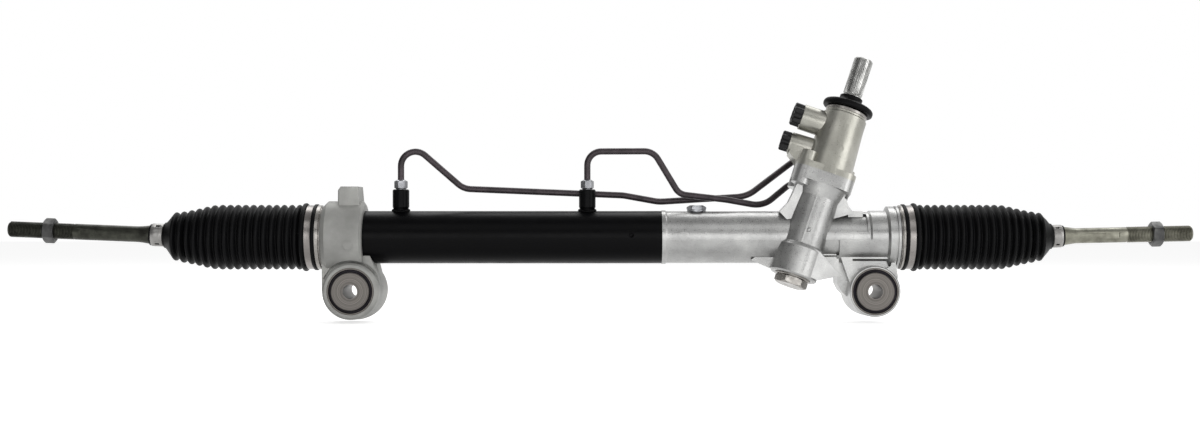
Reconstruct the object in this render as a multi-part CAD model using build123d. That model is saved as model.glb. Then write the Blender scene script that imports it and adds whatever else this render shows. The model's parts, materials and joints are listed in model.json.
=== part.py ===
from build123d import *
import math
import os

# Hydraulic power steering rack. Millimetres, +Z up, +X along the rack to the right.
# The origin is midway between the two mounting eyes, whose bores run along Y.

# Layout along the rack
eye_spacing = 516.2
eye_gap = 3.7
rack_travel = 68.0
bracket_reach = 30.4
bracket_width = 41.5
housing_reach_right = 26.4
housing_reach_left = 209.2
pinion_offset = 66.3
neck_length = 23.5
stop_gap = 2.0
housing_plug_inset = 35.0

# Fits
run_gap = 0.05
seat_gap = 0.05
soft_gap = 0.3
line_gap = 0.12

# Rack, piston and cylinder
rack_radius = 12.5
tube_radius = 26.2
tube_wall = 3.7
piston_width = 16.0
port_inset_left = 70.5
port_inset_right = 74.1
port_radius = 8.3
port_height = 47.8
rod_seal_length = 8.0
bush_length = 24.0
bush_radius = 17.0
end_wall = 6.5
spigot_length = 42.0

# Rack and pinion teeth
tooth_count = 7
tooth_module = 2.0
pressure_angle = 20.0
profile_shift = 0.6
pinion_tip_radius = 9.6
tip_flat = 9.6
mesh_backlash = 0.16
root_clearance = 0.5
pinion_face = 30.0
rack_tooth_margin = 14.0

# Pinion tower
tower_tilt = 19.1
tower_lean = 9.0
tower_radius = 20.8
lower_boss_radius = 23.6
lower_boss_top = -12.0
lower_boss_bottom = -44.2
flange_bottom = 49.6
flange_thickness = 12.3
flange_left = 32.2
flange_right = 28.0
flange_depth = 48.0
flange_corner = 12.0
screw_boss_radius = 9.0
valve_flange_thickness = 6.2
valve_body_radius = 22.0
valve_foot_radius = 25.0
valve_collar_height = 2.2
valve_body_length = 64.6
valve_bore = 16.0
cap_hex = 33.0
cap_head = 7.5
cap_thread_radius = 17.0
bearing_radius = 16.0
bearing_width = 10.0
journal_radius = 6.0
head_radius = 13.0
seal_width = 6.0
input_radius = 10.0
spline_radius = 9.6
spline_length = 38.0
dust_rim_radius = 25.4
dust_rim_start = 4.4
dust_rim_height = 8.4
dust_boss_radius = 11.6
dust_boss_height = 21.0
torsion_radius = 3.2
torsion_end_radius = 4.4
stop_flat = 7.0
sleeve_length = 42.0
input_tail_radius = 7.2
shaft_head_start = 47.0
shaft_head_rise = 4.0
valve_screw_radius = 3.5
valve_screw_depth = 10.5
valve_screw_head = 5.6
seal_groove_width = 3.0
housing_plug_thread = 6.0
housing_plug_hex = 17.0
barrel_radius = 25.9
right_barrel_radius = 25.2
skirt_radius = 26.5
mark_height = 0.5
bracket_radius = 36.0
stake_radius = 3.0

# Hydraulic ports and lines
hose_boss_radius = 13.0
return_boss_radius = 11.4
hose_boss_reach = 42.0
return_boss_reach = 44.5
plug_step = 2.6
plug_thickness = 9.0
line_radius = 3.2
line_nut_hex = 11.6
line_nut_height = 9.5
line_boss_radius = 8.5
line_boss_reach = 30.0

# Mounting eyes and their bushes
eye_length = 55.0
eye_radius = 28.0
eye_rear_radius = 30.0
right_eye_radius = 25.0
right_eye_rear_radius = 26.0
eye_groove_width = 2.6
bolt_radius = 7.15
bush_outer_radius = 23.3
bush_shell = 1.4
bush_core_radius = 11.0
bush_flange_radius = 18.7
bush_flange = 3.0

# Rack guide
guide_radius = 19.0
guide_wall = 5.5
guide_boss_reach = 37.0
guide_body = 18.0
liner_thickness = 1.0
guide_cap_length = 13.0
guide_cap_hex = 24.0
guide_nut_hex = 46.0
guide_nut_height = 6.0

# Tie rods
ball_radius = 11.0
ball_offset = 17.0
socket_radius = 16.5
rod_neck_radius = 6.3
shank_radius = 7.5
thread_radius = 7.0
thread_length = 63.4
left_rod_length = 204.1
right_rod_length = 183.8
left_rod_tilt = 2.3
right_rod_tilt = 1.2
nut_hex = 22.0
nut_height = 17.0
left_nut_inset = 32.5
right_nut_inset = 25.5
socket_stud = 8.0
socket_stud_length = 18.0
seat_thickness = 1.6

# Boots and their clamps
neck_radius = 28.0
boot_wall = 2.2
boot_radius = 32.4
fold_count = 17
fold_depth = 4.2
first_fold = 21.6
fold_taper = (0.4, 1.9, 3.7, 5.3, 6.7, 8.2)
left_last_fold = 28.2
right_last_fold = 26.4
boot_bead_radius = 34.1
boot_lip_radius = 33.0
boot_lip = 6.0
clamp_seat = 7.2
clamp_thickness = 0.9
left_boot_gap = 2.4
right_boot_gap = 1.0
left_boot_length = 173.0
right_boot_length = 167.0
tail_margin = 4.8
clip_radius = 11.4
left_clip_width = 12.2
right_clip_width = 9.8
ear_angle = 20.0

# Places worked out from the layout
rack_height = bush_outer_radius + tube_radius + eye_gap
left_eye = -eye_spacing / 2
right_eye = eye_spacing / 2
bracket_left = left_eye - bracket_reach
bracket_right = bracket_left + bracket_width
left_neck_end = bracket_left - neck_length
housing_right = right_eye + housing_reach_right
housing_left = right_eye - housing_reach_left
right_neck_end = housing_right + neck_length
pinion_x = right_eye - pinion_offset
tube_left = bracket_left + end_wall
tube_right = housing_left
tube_bore = tube_radius - tube_wall
left_port = tube_left + port_inset_left
right_port = tube_right - port_inset_right
piston_x = (left_port + right_port) / 2
spigot_left = housing_left - spigot_length
rack_left = left_neck_end - rack_travel - stop_gap
rack_right = right_neck_end + rack_travel + stop_gap
housing_plug_x = housing_left + housing_plug_inset
line_run = pinion_x - right_port
left_lip = bracket_left - left_boot_gap
right_lip = housing_right + right_boot_gap

# Teeth worked out from the module
pitch_radius = tooth_count * tooth_module / 2
base_radius = pitch_radius * math.cos(math.radians(pressure_angle))
reference_line = pitch_radius + profile_shift * tooth_module
rack_addendum = tooth_module
rack_dedendum = pinion_tip_radius - reference_line + root_clearance
root_radius = reference_line - rack_addendum - root_clearance
centre_distance = tip_flat + reference_line - rack_addendum
rack_pitch = math.pi * tooth_module / math.cos(math.radians(tower_tilt))
valve_foot = flange_bottom + flange_thickness
valve_top = valve_foot + valve_body_length
input_top = valve_top + dust_boss_height + 3.0 + spline_length
cover_foot = valve_top + valve_collar_height
nut_face = lower_boss_bottom + 8 + 5.5
pinion_bottom = nut_face - 6.5
head_top = valve_foot + shaft_head_rise
sleeve_bottom = head_top - 6.0
seal_groove_radius = valve_bore + seal_groove_width

# Directions
lean = math.radians(tower_lean)
tilt = math.radians(tower_tilt)
back = Vector(0, math.cos(lean), -math.sin(lean))
rise = Vector(0, math.sin(lean), math.cos(lean))
tower_axis = Vector(1, 0, 0) * math.sin(tilt) + rise * math.cos(tilt)
tower_right = Vector(1, 0, 0) * math.cos(tilt) - rise * math.sin(tilt)
rack_centre = Vector(pinion_x, 0, rack_height)

# Frames: each one's Z runs along the axis of the pieces made in it
along_rack = Plane(origin=(0, 0, rack_height), x_dir=(0, 1, 0), z_dir=(1, 0, 0)).location
tower = Plane(origin=rack_centre - back * centre_distance, x_dir=tower_right, z_dir=tower_axis).location
guide = Plane(origin=rack_centre, x_dir=(1, 0, 0), z_dir=back).location
sleeve_pin_frame = tower * Pos(0, 0, head_top - 3.0) * Rot(0, 90, 0)
bar_pin_frame = tower * Pos(0, 0, valve_top + dust_boss_height - 6) * Rot(0, 90, 0)


def eye_frame(x):
    return Plane(origin=(x, 0, 0), x_dir=(1, 0, 0), z_dir=(0, -1, 0)).location


def rod_frame(x, side, angle):
    turn = math.radians(angle)
    outward = (side * math.cos(turn), 0, math.sin(turn))
    return Plane(origin=(x, 0, rack_height), x_dir=(0, 1, 0), z_dir=outward).location


left_ball = rack_left - ball_offset
right_ball = rack_right + ball_offset
left_rod_frame = rod_frame(left_ball, -1, left_rod_tilt)
right_rod_frame = rod_frame(right_ball, 1, right_rod_tilt)


# Basic shapes
def rod(place, radius, start, end):
    return place * Pos(0, 0, start) * Cylinder(radius, end - start, align=(Align.CENTER, Align.CENTER, Align.MIN))


def ring(place, outer, inner, start, end):
    return rod(place, outer, start, end) - rod(place, inner, start - 1, end + 1)


def spin(place, points):
    outline = Polyline(*[(radius, 0, height) for radius, height in points], close=True)
    return place * revolve(make_face(outline), Axis.Z)


def hexagon(place, across, start, end):
    prism = extrude(RegularPolygon(across / 2, 6, major_radius=False), end - start)
    return place * Pos(0, 0, start) * prism


def plate(place, points, start, end):
    outline = make_face(Polyline(*points, close=True))
    return place * Pos(0, 0, start) * extrude(outline, end - start)


def side_view(points, front, rear):
    # A shape drawn in X and Z as seen from the front, and given depth along Y
    place = Plane(origin=(0, rear, 0), x_dir=(1, 0, 0), z_dir=(0, -1, 0)).location
    return place * extrude(make_face(Polyline(*points, close=True)), rear - front)


# Castings
def eye_boss(x, front, rear, chamfer):
    half = eye_length / 2
    outer = [(0, -half), (rear, -half), (rear, -half + 12), (front, half - chamfer), (front - chamfer, half),
             (0, half)]
    return spin(eye_frame(x), outer)


def cast_mark(place, outer, inner, surface):
    # A plain ring that stands just proud of the casting's surface
    return ring(place, outer, inner, 8, 60) & surface


def boot_neck(face, side, gap):
    groove = gap + boot_lip + clamp_seat
    outline = [(0, 0), (neck_radius, 0), (neck_radius, groove), (neck_radius + 1.2, groove + 2),
               (neck_radius + 1.2, groove + 4), (neck_radius - 2, neck_length), (0, neck_length)]
    return spin(along_rack, [(radius, face + side * reach) for radius, reach in outline])


def make_end_bracket():
    top = rack_height + 50.4
    chamfer = 5.5
    barrel = spin(along_rack, [(0, bracket_left), (bracket_radius - chamfer, bracket_left),
                               (bracket_radius, bracket_left + chamfer), (bracket_radius, bracket_right - 2),
                               (bracket_radius - 3, bracket_right), (0, bracket_right)])
    lug_left = left_eye - 14
    lug_right = left_eye + 8
    lug = side_view([(lug_left, rack_height), (lug_left, top - 4), (lug_left + 3, top), (lug_right - 2, top),
                     (lug_right, top - 22), (lug_right + 3, rack_height)], -17, 17)
    lug = fillet(lug.edges().filter_by(Axis.Z), 2)
    web = side_view([(bracket_left + 1, rack_height), (bracket_left + 1, 0), (left_eye - 20, -14),
                     (left_eye + 20, -14), (left_eye + eye_radius, 6), (left_eye + 25.5, 16), (left_eye + 20.8, 28.4),
                     (left_eye + 17.3, 36.8), (left_eye + 13.4, 47.7), (left_eye + 11, rack_height + 5)], -19, 21)
    spur = side_view([(left_eye, 0), (left_eye + eye_rear_radius - 1, 4), (left_eye + 23, 26),
                      (left_eye + 11, rack_height), (left_eye, rack_height)], -4, 22)
    flat = side_view([(bracket_left - 30, 30), (bracket_left - 30, -60), (bracket_left + 1, -60),
                      (bracket_left + 1, 30)], -60, 60)
    arch = ring(eye_frame(left_eye), eye_radius + eye_groove_width, eye_radius, 16, 50) & side_view(
        [(left_eye - 40, 12), (left_eye + 40, 12), (left_eye + 40, 40), (left_eye - 40, 40)], -60, 0)
    mark = eye_frame(left_eye - 1.7) * Pos(0, 45, 0)
    body = (barrel + lug + web - arch) + spur + (eye_boss(left_eye, eye_radius, eye_rear_radius, 2) - flat)
    body += cast_mark(mark, 5.5, 4.6, rod(along_rack, bracket_radius + mark_height, bracket_left, bracket_right))
    body += boot_neck(bracket_left, -1, left_boot_gap)
    body -= rod(along_rack, tube_radius + seat_gap, tube_left, bracket_right + 40)
    body -= rod(along_rack, rack_radius + 3.5, left_neck_end - 1, tube_left + 1)
    body -= rod(eye_frame(left_eye), bush_outer_radius + seat_gap, -eye_length, eye_length)
    return body


def below_rack(points, front, rear):
    # A wedge by the pinion, drawn as distances to the right of the pinion and down from the rack's axis
    return side_view([(pinion_x + right, rack_height - down) for right, down in points], front, rear)


def tower_wall(points, front, rear):
    # A wall drawn as distances to the right of the tower's axis and up it, and given depth behind the axis
    place = tower * Pos(0, rear, 0) * Rot(90, 0, 0)
    return place * extrude(make_face(Polyline(*points, close=True)), rear - front)


def tower_flange(start, end):
    width = flange_left + flange_right
    outline = RectangleRounded(width, flange_depth, flange_corner)
    middle = (flange_right - flange_left) / 2
    return tower * Pos(middle, 0, start) * extrude(outline, end - start)


def screw_places():
    edge = 9.2
    deep = flange_depth / 2 - edge
    return [(-flange_left + edge, -deep), (-flange_left + edge, deep), (flange_right - edge + 1.5, deep)]


def make_gear_housing():
    barrel = spin(along_rack, [(0, housing_left), (barrel_radius + 0.9, housing_left),
                               (barrel_radius + 0.9, housing_left + 3.6), (barrel_radius, housing_left + 5),
                               (barrel_radius, pinion_x + 10), (0, pinion_x + 10)])
    ridge = rod(along_rack, barrel_radius + mark_height, housing_left + 8, pinion_x) & below_rack(
        [(-140, 3), (0, 3), (0, 3.8), (-140, 3.8)], -40, 0)
    pad_x = housing_left + 21.7
    pad = side_view([(pad_x - 6.5, rack_height + 2), (pad_x, rack_height + 8.5), (pad_x + 6.5, rack_height + 2),
                     (pad_x, rack_height - 4.5)], -40, 0) & rod(
        along_rack, barrel_radius + 2 * mark_height, housing_left, pinion_x)
    step = right_eye - 2
    right_barrel = make_right_barrel(step)
    spigot = rod(along_rack, tube_bore - seat_gap, spigot_left, housing_left + 1)
    shaft_case = rod(tower, tower_radius, lower_boss_top - 2, flange_bottom + 1)
    collar = spin(tower, [(0, flange_bottom - 12), (tower_radius, flange_bottom - 12),
                          (tower_radius + 4, flange_bottom), (0, flange_bottom)])
    rib = tower * Pos(-3.5, -tower_radius, lower_boss_top) * Box(1.8, 2.2, flange_bottom - 6 - lower_boss_top, align=(
        Align.CENTER, Align.CENTER, Align.MIN))
    rib += tower * Pos(-0.9, -tower_radius + 0.6, 1.8) * Sphere(2.4)
    lower_boss = spin(tower, [(0, lower_boss_bottom), (lower_boss_radius - 1.5, lower_boss_bottom),
                              (lower_boss_radius, lower_boss_bottom + 1.5), (lower_boss_radius, lower_boss_top - 4),
                              (tower_radius, lower_boss_top), (0, lower_boss_top)])
    guide_boss = rod(guide, guide_radius + guide_wall, -4, guide_boss_reach)
    left_wedge = below_rack([(-55, 22.2), (-31, 6.2), (-8, 6.2), (-20, 37.2)], -17, 14)
    right_wedge = below_rack([(-6, 36), (8, 39.5), (29, 36.5), (32, 34), (32, 19.2), (14, 3.2)], -16, 16)
    broad = lower_boss_radius - 3.5
    fairing = plate(tower, [(0, -broad), (10, -broad), (46, -5), (46, 5), (10, broad), (0, broad)],
                    lower_boss_bottom + 2.5, 2)
    fairing &= below_rack([(0, 8), (11, 14), (29.7, 35.5), (29.9, 38.2), (4.6, 42.4), (-6, 38)], -45, 12)
    left_web = below_rack([(-9, -54), (-10.8, -50.8), (-14.7, -41.9), (-18.7, -34), (-27, -25.6), (-20, -18),
                           (-2, -20), (2, -50)], -20, -8)
    right_web = below_rack([(31, -48), (39.4, -37), (41.4, -31), (47, -24), (25, -18)], -18, -4)
    web = side_view([(right_eye - 33.5, rack_height), (right_eye - 33.3, 35.8), (right_eye - 23.4, 8),
                     (right_eye - 20, -10), (right_eye + 20, -10), (right_eye + 24, 14), (right_eye + 21.5, 30),
                     (right_eye + 21, rack_height)], -18, 21)
    pocket = side_view([(right_eye - 21, 32), (right_eye - 20.5, 28), (right_eye - 16, 21), (right_eye + 11, 21),
                        (right_eye + 17, 25), (right_eye + 18.5, 32)], -40, -12)
    rear_web = side_view([(right_eye - 34.8, rack_height - 12), (right_eye - 34.8, 15), (right_eye - 34.3, 6.7),
                          (right_eye - 30.8, -0.2), (right_eye - 25.8, -5.2), (right_eye - 21.8, -7.2),
                          (right_eye - 10, -10), (right_eye, 0), (right_eye, rack_height - 12)], -8, 22)
    body = barrel + ridge + pad + right_barrel + spigot + shaft_case + collar
    body += tower_flange(flange_bottom, valve_foot)
    for x, y in screw_places():
        body += rod(tower * Pos(x, y, 0), screw_boss_radius, flange_bottom - 6, valve_foot)
    body += guide_boss
    body += lower_boss + fairing
    body += left_wedge + right_wedge + left_web + right_web
    body += (web - pocket) + rear_web + eye_boss(right_eye, right_eye_radius, right_eye_rear_radius, 0.8)
    body += boot_neck(housing_right, 1, right_boot_gap)
    body += rib
    return body - housing_bores()


def make_right_barrel(step):
    # The barrel from the pinion to the boot's collar, with its two shallow pockets and two plain pads
    end = housing_right
    body = spin(along_rack, [(0, pinion_x), (right_barrel_radius, pinion_x), (right_barrel_radius, step - 2),
                             (skirt_radius, step), (skirt_radius, end - 13), (30.8, end - 11), (30.8, end - 5.5),
                             (29.6, end - 5.2), (29.6, end - 3.6), (31.2, end - 3.3), (31.2, end - 1),
                             (30.2, end), (0, end)])
    body += rod(along_rack, skirt_radius, pinion_x + 30, step) & side_view(
        [(pinion_x, rack_height - 2), (step, rack_height - 2), (step, 0), (pinion_x, 0)], -60, 60)
    for left, right, top, low in ((0, 60, 23.1, 5.9), (15.7, 31.9, -2.5, -17.7)):
        window = below_rack([(left, -top), (right, -top), (right, -low), (left, -low)], -40, 0)
        body -= ring(along_rack, skirt_radius + 5, right_barrel_radius - 2.2, pinion_x - 1, step) & window
    pad = below_rack([(45.5, -2.9), (61.5, -2.9), (61.5, 2.5), (45.5, 2.5)], -40, 0)
    body += pad & rod(along_rack, right_barrel_radius + mark_height, pinion_x, step)
    return body + Pos(pinion_x + 49.4, -5, rack_height + skirt_radius - 4.3) * Box(14.5, 12, 8)


def housing_bores():
    cut = rod(along_rack, rack_radius + 1.5, spigot_left - 1, right_neck_end + 1)
    cut += rod(along_rack, bush_radius + seat_gap, spigot_left - 1, spigot_left + bush_length)
    cut += rod(tower, pinion_tip_radius + 1, lower_boss_bottom, valve_foot)
    cut += rod(tower, bearing_radius + seat_gap, lower_boss_bottom - 1, -pinion_face / 2 - 3)
    cut += rod(tower, bearing_radius + seat_gap, pinion_face / 2 + 4, valve_foot + 1)
    cut += rod(tower, cap_thread_radius + seat_gap, lower_boss_bottom - 1, lower_boss_bottom + 8)
    cut += ring(tower, seal_groove_radius, valve_bore + 0.9, valve_foot - 1.9, valve_foot + 1)
    cut += rod(guide, guide_radius + run_gap, 0, guide_boss_reach + 1)
    cut += rod(eye_frame(right_eye), bush_outer_radius + seat_gap, -eye_length, eye_length)
    plug = Plane(origin=(housing_plug_x, 0, rack_height), z_dir=(0, 0, 1)).location
    cut += rod(plug, housing_plug_thread + seat_gap, 0, 40)
    for x, y in screw_places():
        cut += rod(tower * Pos(x, y, 0), valve_screw_radius + seat_gap, valve_foot - valve_screw_depth, valve_foot + 1)
    return cut


def make_valve_housing():
    top = valve_top
    body = spin(tower, [(0, valve_foot), (valve_foot_radius, valve_foot), (valve_body_radius, top - 12),
                        (valve_body_radius, top - 1), (valve_body_radius - 1, top), (0, top)])
    body += rod(tower, valve_body_radius - 1.6, top - 1, cover_foot)
    body += tower_flange(valve_foot + seat_gap, valve_foot + valve_flange_thickness)
    for x, y in screw_places():
        body += rod(tower * Pos(x, y, 0), 7.6, valve_foot + seat_gap, valve_foot + valve_flange_thickness + 10)
    for height, radius, reach, turn in hose_ports():
        body += spin(hose_frame(height, turn), [(0, 0), (radius, 0), (radius, reach - 1), (radius - 1, reach),
                                               (0, reach)])
    foot = valve_foot + seat_gap
    bulk = [(-30, foot), (-33, foot + 4), (-42.5, foot + 10.5), (-42.5, foot + 20), (-10, foot + 20), (-10, foot)]
    body += tower_wall(bulk, -7, 13)
    mark = tower * Pos(3.3, 0, valve_foot + 26.7) * Rot(90, 0, 0)
    body += cast_mark(mark, 4, 3.1, rod(tower, valve_foot_radius - 1.1, valve_foot + 10, valve_foot + 40))
    for height in line_ports():
        body += rod(line_frame(height), line_boss_radius, 0, line_boss_reach)
    body -= rod(tower, valve_bore, valve_foot - 1, top - 4)
    body -= rod(tower, valve_bore, top - 5, cover_foot + 1)
    for height, radius, reach, turn in hose_ports():
        body -= rod(hose_frame(height, turn), 4, 8, reach)
        body -= rod(hose_frame(height, turn), radius - 4, reach - 13, reach + 1)
    for height in line_ports():
        body -= rod(line_frame(height), 2.5, 8, line_boss_reach)
        body -= rod(line_frame(height), line_nut_hex / 2 - 0.6, line_boss_reach - 8, line_boss_reach + 1)
    for x, y in screw_places():
        hole = tower * Pos(x, y, 0)
        body -= rod(hole, valve_screw_radius + seat_gap, valve_foot - 1, valve_foot + valve_flange_thickness + 9)
        body -= rod(hole, valve_screw_head + seat_gap, valve_foot + valve_flange_thickness, valve_foot + 17)
    return body


def hose_ports():
    # Height of each hose port on the tower, its boss radius and reach, and how far it is turned to the back
    return [(valve_foot + 50.3, hose_boss_radius, hose_boss_reach, 0),
            (valve_foot + 22.5, return_boss_radius, return_boss_reach, 8)]


def line_ports():
    return [valve_foot + 38, valve_foot + 15]


def hose_frame(height, turn):
    return tower * Pos(0, 0, height) * Rot(0, 0, -turn) * Rot(0, -90, 0)


def line_frame(height):
    return tower * Pos(0, 0, height) * Rot(-90, 0, 0)


def make_hose_plug(height, radius, reach, turn):
    place = hose_frame(height, turn)
    start = reach + seat_gap
    plug = rod(place, radius - 4.1, reach - 9, start + 1)
    plug += rod(place, radius - plug_step, start, start + plug_thickness)
    lobes = 10
    for index in range(lobes):
        turned = place * Rot(0, 0, 360 / lobes * index) * Pos(radius - plug_step, 0, 0)
        plug += rod(turned, 1.6, start, start + plug_thickness - 1.5)
    return plug


def make_valve_screws():
    screws = []
    seat = valve_foot + valve_flange_thickness
    for x, y in screw_places():
        place = tower * Pos(x, y, 0)
        screw = rod(place, valve_screw_radius, valve_foot - valve_screw_depth + 1, seat + 1)
        screw += rod(place, valve_screw_head, seat + seat_gap, seat + 7)
        screw -= hexagon(place, 5.5, seat + 3.5, seat + 8)
        screws.append(screw)
    return Compound(children=screws)


def make_valve_seal():
    return ring(tower, seal_groove_radius - seat_gap, valve_bore + 1, valve_foot - 1.8, valve_foot - seat_gap)


# Cylinder
def make_cylinder_tube():
    tube = rod(along_rack, tube_radius, tube_left + seat_gap, tube_right - seat_gap)
    for x in (left_port, right_port):
        place = Plane(origin=(x, 0, rack_height), z_dir=(0, 0, 1)).location
        tube += spin(place, [(0, 0), (port_radius - 1, 0), (port_radius - 1, tube_radius + 1.5),
                             (port_radius, tube_radius + 4), (port_radius, port_height - 1),
                             (port_radius - 1, port_height), (0, port_height)])
    tube -= rod(along_rack, tube_bore, tube_left - 1, tube_right + 1)
    for x in (left_port, right_port):
        place = Plane(origin=(x, 0, rack_height), z_dir=(0, 0, 1)).location
        tube -= rod(place, 2.6, 10, port_height)
        tube -= rod(place, line_nut_hex / 2 - 0.6, port_height - 10, port_height + 1)
    return tube - Pos(spigot_left + 11.6, -tube_radius - stake_radius / 2, rack_height + 2.4) * Sphere(stake_radius)


def make_piston():
    half = piston_width / 2
    groove = 2.5
    return spin(along_rack, [(rack_radius + seat_gap, piston_x - half), (tube_bore - 0.3, piston_x - half),
                             (tube_bore - 0.3, piston_x - groove), (tube_bore - 3, piston_x - groove),
                             (tube_bore - 3, piston_x + groove), (tube_bore - 0.3, piston_x + groove),
                             (tube_bore - 0.3, piston_x + half), (rack_radius + seat_gap, piston_x + half)])


def make_piston_ring():
    return ring(along_rack, tube_bore - run_gap, tube_bore - 2.9, piston_x - 2.4, piston_x + 2.4)


def make_piston_clips():
    half = piston_width / 2
    clips = []
    for start in (piston_x - half - 1.6, piston_x + half + 0.1):
        clips.append(ring(along_rack, rack_radius + 2, rack_radius - 0.9, start, start + 1.5))
    return Compound(children=clips)


# Rack with its teeth, cut square to the pinion's axis
def rack_teeth_cutter():
    slope = math.tan(math.radians(pressure_angle))
    half_gap = math.pi * tooth_module / 4 + mesh_backlash / 2
    top = rack_addendum + 8
    outline = [(-half_gap - top * slope, reference_line - top), (half_gap + top * slope, reference_line - top),
               (half_gap - rack_dedendum * slope, reference_line + rack_dedendum),
               (-half_gap + rack_dedendum * slope, reference_line + rack_dedendum)]
    return plate(tower, outline, -40, 40)


def make_rack_bar():
    half = piston_width / 2
    bar = spin(along_rack, [(0, rack_left), (rack_radius - 1, rack_left), (rack_radius, rack_left + 1),
                            (rack_radius, rack_right - 1), (rack_radius - 1, rack_right), (0, rack_right)])
    for start in (piston_x - half - 1.7, piston_x + half):
        bar -= ring(along_rack, rack_radius + 1, rack_radius - 1, start, start + 1.7)
    bar -= rod(along_rack, socket_stud + seat_gap, rack_left - 1, rack_left + socket_stud_length + 1)
    bar -= rod(along_rack, socket_stud + seat_gap, rack_right - socket_stud_length - 1, rack_right + 1)
    reach = rack_travel + rack_tooth_margin
    face = Plane(origin=rack_centre, x_dir=(1, 0, 0), z_dir=-back).location
    bar -= face * Pos(0, 0, tip_flat) * Box(2 * reach, 60, 30, align=(Align.CENTER, Align.CENTER, Align.MIN))
    cutter = rack_teeth_cutter()
    count = int(reach / rack_pitch)
    for index in range(-count, count + 1):
        bar -= Pos(index * rack_pitch, 0, 0) * cutter
    return bar


# Pinion: involute teeth that mesh with the rack's straight flanks
def involute(angle):
    return math.tan(angle) - angle


def tooth_half_angle(radius):
    slope = math.tan(math.radians(pressure_angle))
    thickness = tooth_module * (math.pi / 2 + 2 * profile_shift * slope)
    base_angle = thickness / (2 * pitch_radius) + involute(math.radians(pressure_angle))
    return base_angle - involute(math.acos(base_radius / radius))


def pinion_outline():
    start = max(base_radius, root_radius) + 0.02
    steps = 5
    points = []
    for tooth in range(tooth_count):
        centre = math.radians(90) - 2 * math.pi * tooth / tooth_count
        radii = [start + (pinion_tip_radius - start) * step / steps for step in range(steps + 1)]
        foot = tooth_half_angle(start)
        left = [(root_radius, foot)] + [(radius, tooth_half_angle(radius)) for radius in radii]
        right = [(radius, -angle) for radius, angle in reversed(left)]
        for radius, angle in left + right:
            points.append((radius * math.cos(centre + angle), radius * math.sin(centre + angle)))
    return points


def make_pinion_gear():
    half = pinion_face / 2
    gear = plate(tower, pinion_outline(), -half, half)
    shaft = spin(tower, [(0, pinion_bottom), (journal_radius - 1, pinion_bottom), (journal_radius - 1, nut_face),
                         (journal_radius, nut_face), (journal_radius, -half - 1),
                         (root_radius, -half), (root_radius, half), (input_radius, half + 5),
                         (input_radius, shaft_head_start), (head_radius, shaft_head_start + 2), (head_radius, head_top),
                         (0, head_top)])
    gear += shaft
    gear -= rod(tower, torsion_end_radius + seat_gap, half + 4, head_top)
    gear -= rod(tower, input_tail_radius + run_gap, shaft_head_start - 10, head_top)
    gear -= stop_shape(stop_flat + 0.75, input_tail_radius + 1.3, shaft_head_start + 4, head_top + 1)
    gear -= rod(sleeve_pin_frame, 1.5 + seat_gap, head_radius - 4, head_radius + 1)
    return gear


def stop_shape(flat, radius, start, end):
    disc = rod(tower, radius, start, end)
    return disc & tower * Pos(0, 0, start) * Box(4 * radius, 2 * flat, end - start, align=(
        Align.CENTER, Align.CENTER, Align.MIN))


def make_pinion_nut():
    return hexagon(tower, 17, nut_face - 5.5, nut_face - seat_gap) - rod(
        tower, journal_radius - 1 + seat_gap, nut_face - 10, nut_face + 1)


def make_valve_sleeve():
    outer = valve_bore - run_gap
    sleeve = ring(tower, outer, input_radius + run_gap, sleeve_bottom, sleeve_bottom + sleeve_length)
    sleeve -= rod(tower, head_radius + seat_gap, sleeve_bottom - 1, head_top + 1)
    for index in range(4):
        start = sleeve_bottom + 9 + index * 9
        sleeve -= ring(tower, outer + 1, outer - 1.6, start, start + 2.4)
    sleeve -= rod(sleeve_pin_frame, 1.5 + seat_gap, head_radius - 4, valve_bore + 1)
    return sleeve


def make_sleeve_rings():
    rings = []
    for index in range(4):
        start = sleeve_bottom + 9.1 + index * 9
        rings.append(ring(tower, valve_bore - 0.02, valve_bore - 1.5, start, start + 2.2))
    return Compound(children=rings)


def make_sleeve_pin():
    return rod(sleeve_pin_frame, 1.5, head_radius - 3.9, valve_bore - 0.2)


def make_torsion_bar():
    low = pinion_face / 2 + 4.1
    high = input_top - 4
    bar = spin(tower, [(0, low), (torsion_end_radius, low), (torsion_end_radius, low + 14), (torsion_radius, low + 18),
                       (torsion_radius, high - 22), (torsion_end_radius, high - 18), (torsion_end_radius, high),
                       (0, high)])
    return bar - rod(bar_pin_frame, 2.5, -20, 20)


def make_input_shaft():
    neck_top = valve_top + dust_boss_height + 1
    tail = shaft_head_start - 9.5
    shaft = spin(tower, [(0, tail), (input_tail_radius, tail), (input_tail_radius, head_top),
                         (input_radius, head_top + 0.5), (input_radius, neck_top), (spline_radius, neck_top + 1),
                         (spline_radius, input_top - 1), (spline_radius - 1, input_top), (0, input_top)])
    shaft += stop_shape(stop_flat, input_tail_radius + 1, shaft_head_start + 4.4, head_top + 0.6)
    shaft -= rod(tower, torsion_end_radius + run_gap, shaft_head_start - 12, input_top + 1)
    shaft -= rod(bar_pin_frame, 2 + seat_gap, -20, 20)
    return shaft


def make_bar_pin():
    return rod(bar_pin_frame, 2, -input_radius + 0.6, input_radius - 0.6)


# Tower bearings, seals and covers
def make_lower_bearing():
    start = nut_face + seat_gap
    return ring(tower, bearing_radius, journal_radius + run_gap, start, start + bearing_width)


def make_middle_bearing():
    start = pinion_face / 2 + 5
    return ring(tower, bearing_radius, input_radius + run_gap, start, start + 14)


def make_pinion_seal():
    start = pinion_face / 2 + 20
    return ring(tower, bearing_radius, input_radius + run_gap, start, start + seal_width)


def make_upper_bearing():
    return ring(tower, valve_bore - 0.05, input_radius + run_gap, valve_top - 18, valve_top - 9)


def make_input_seal():
    return ring(tower, valve_bore - 0.05, input_radius + run_gap, valve_top - 8, valve_top - 1.5)


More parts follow.
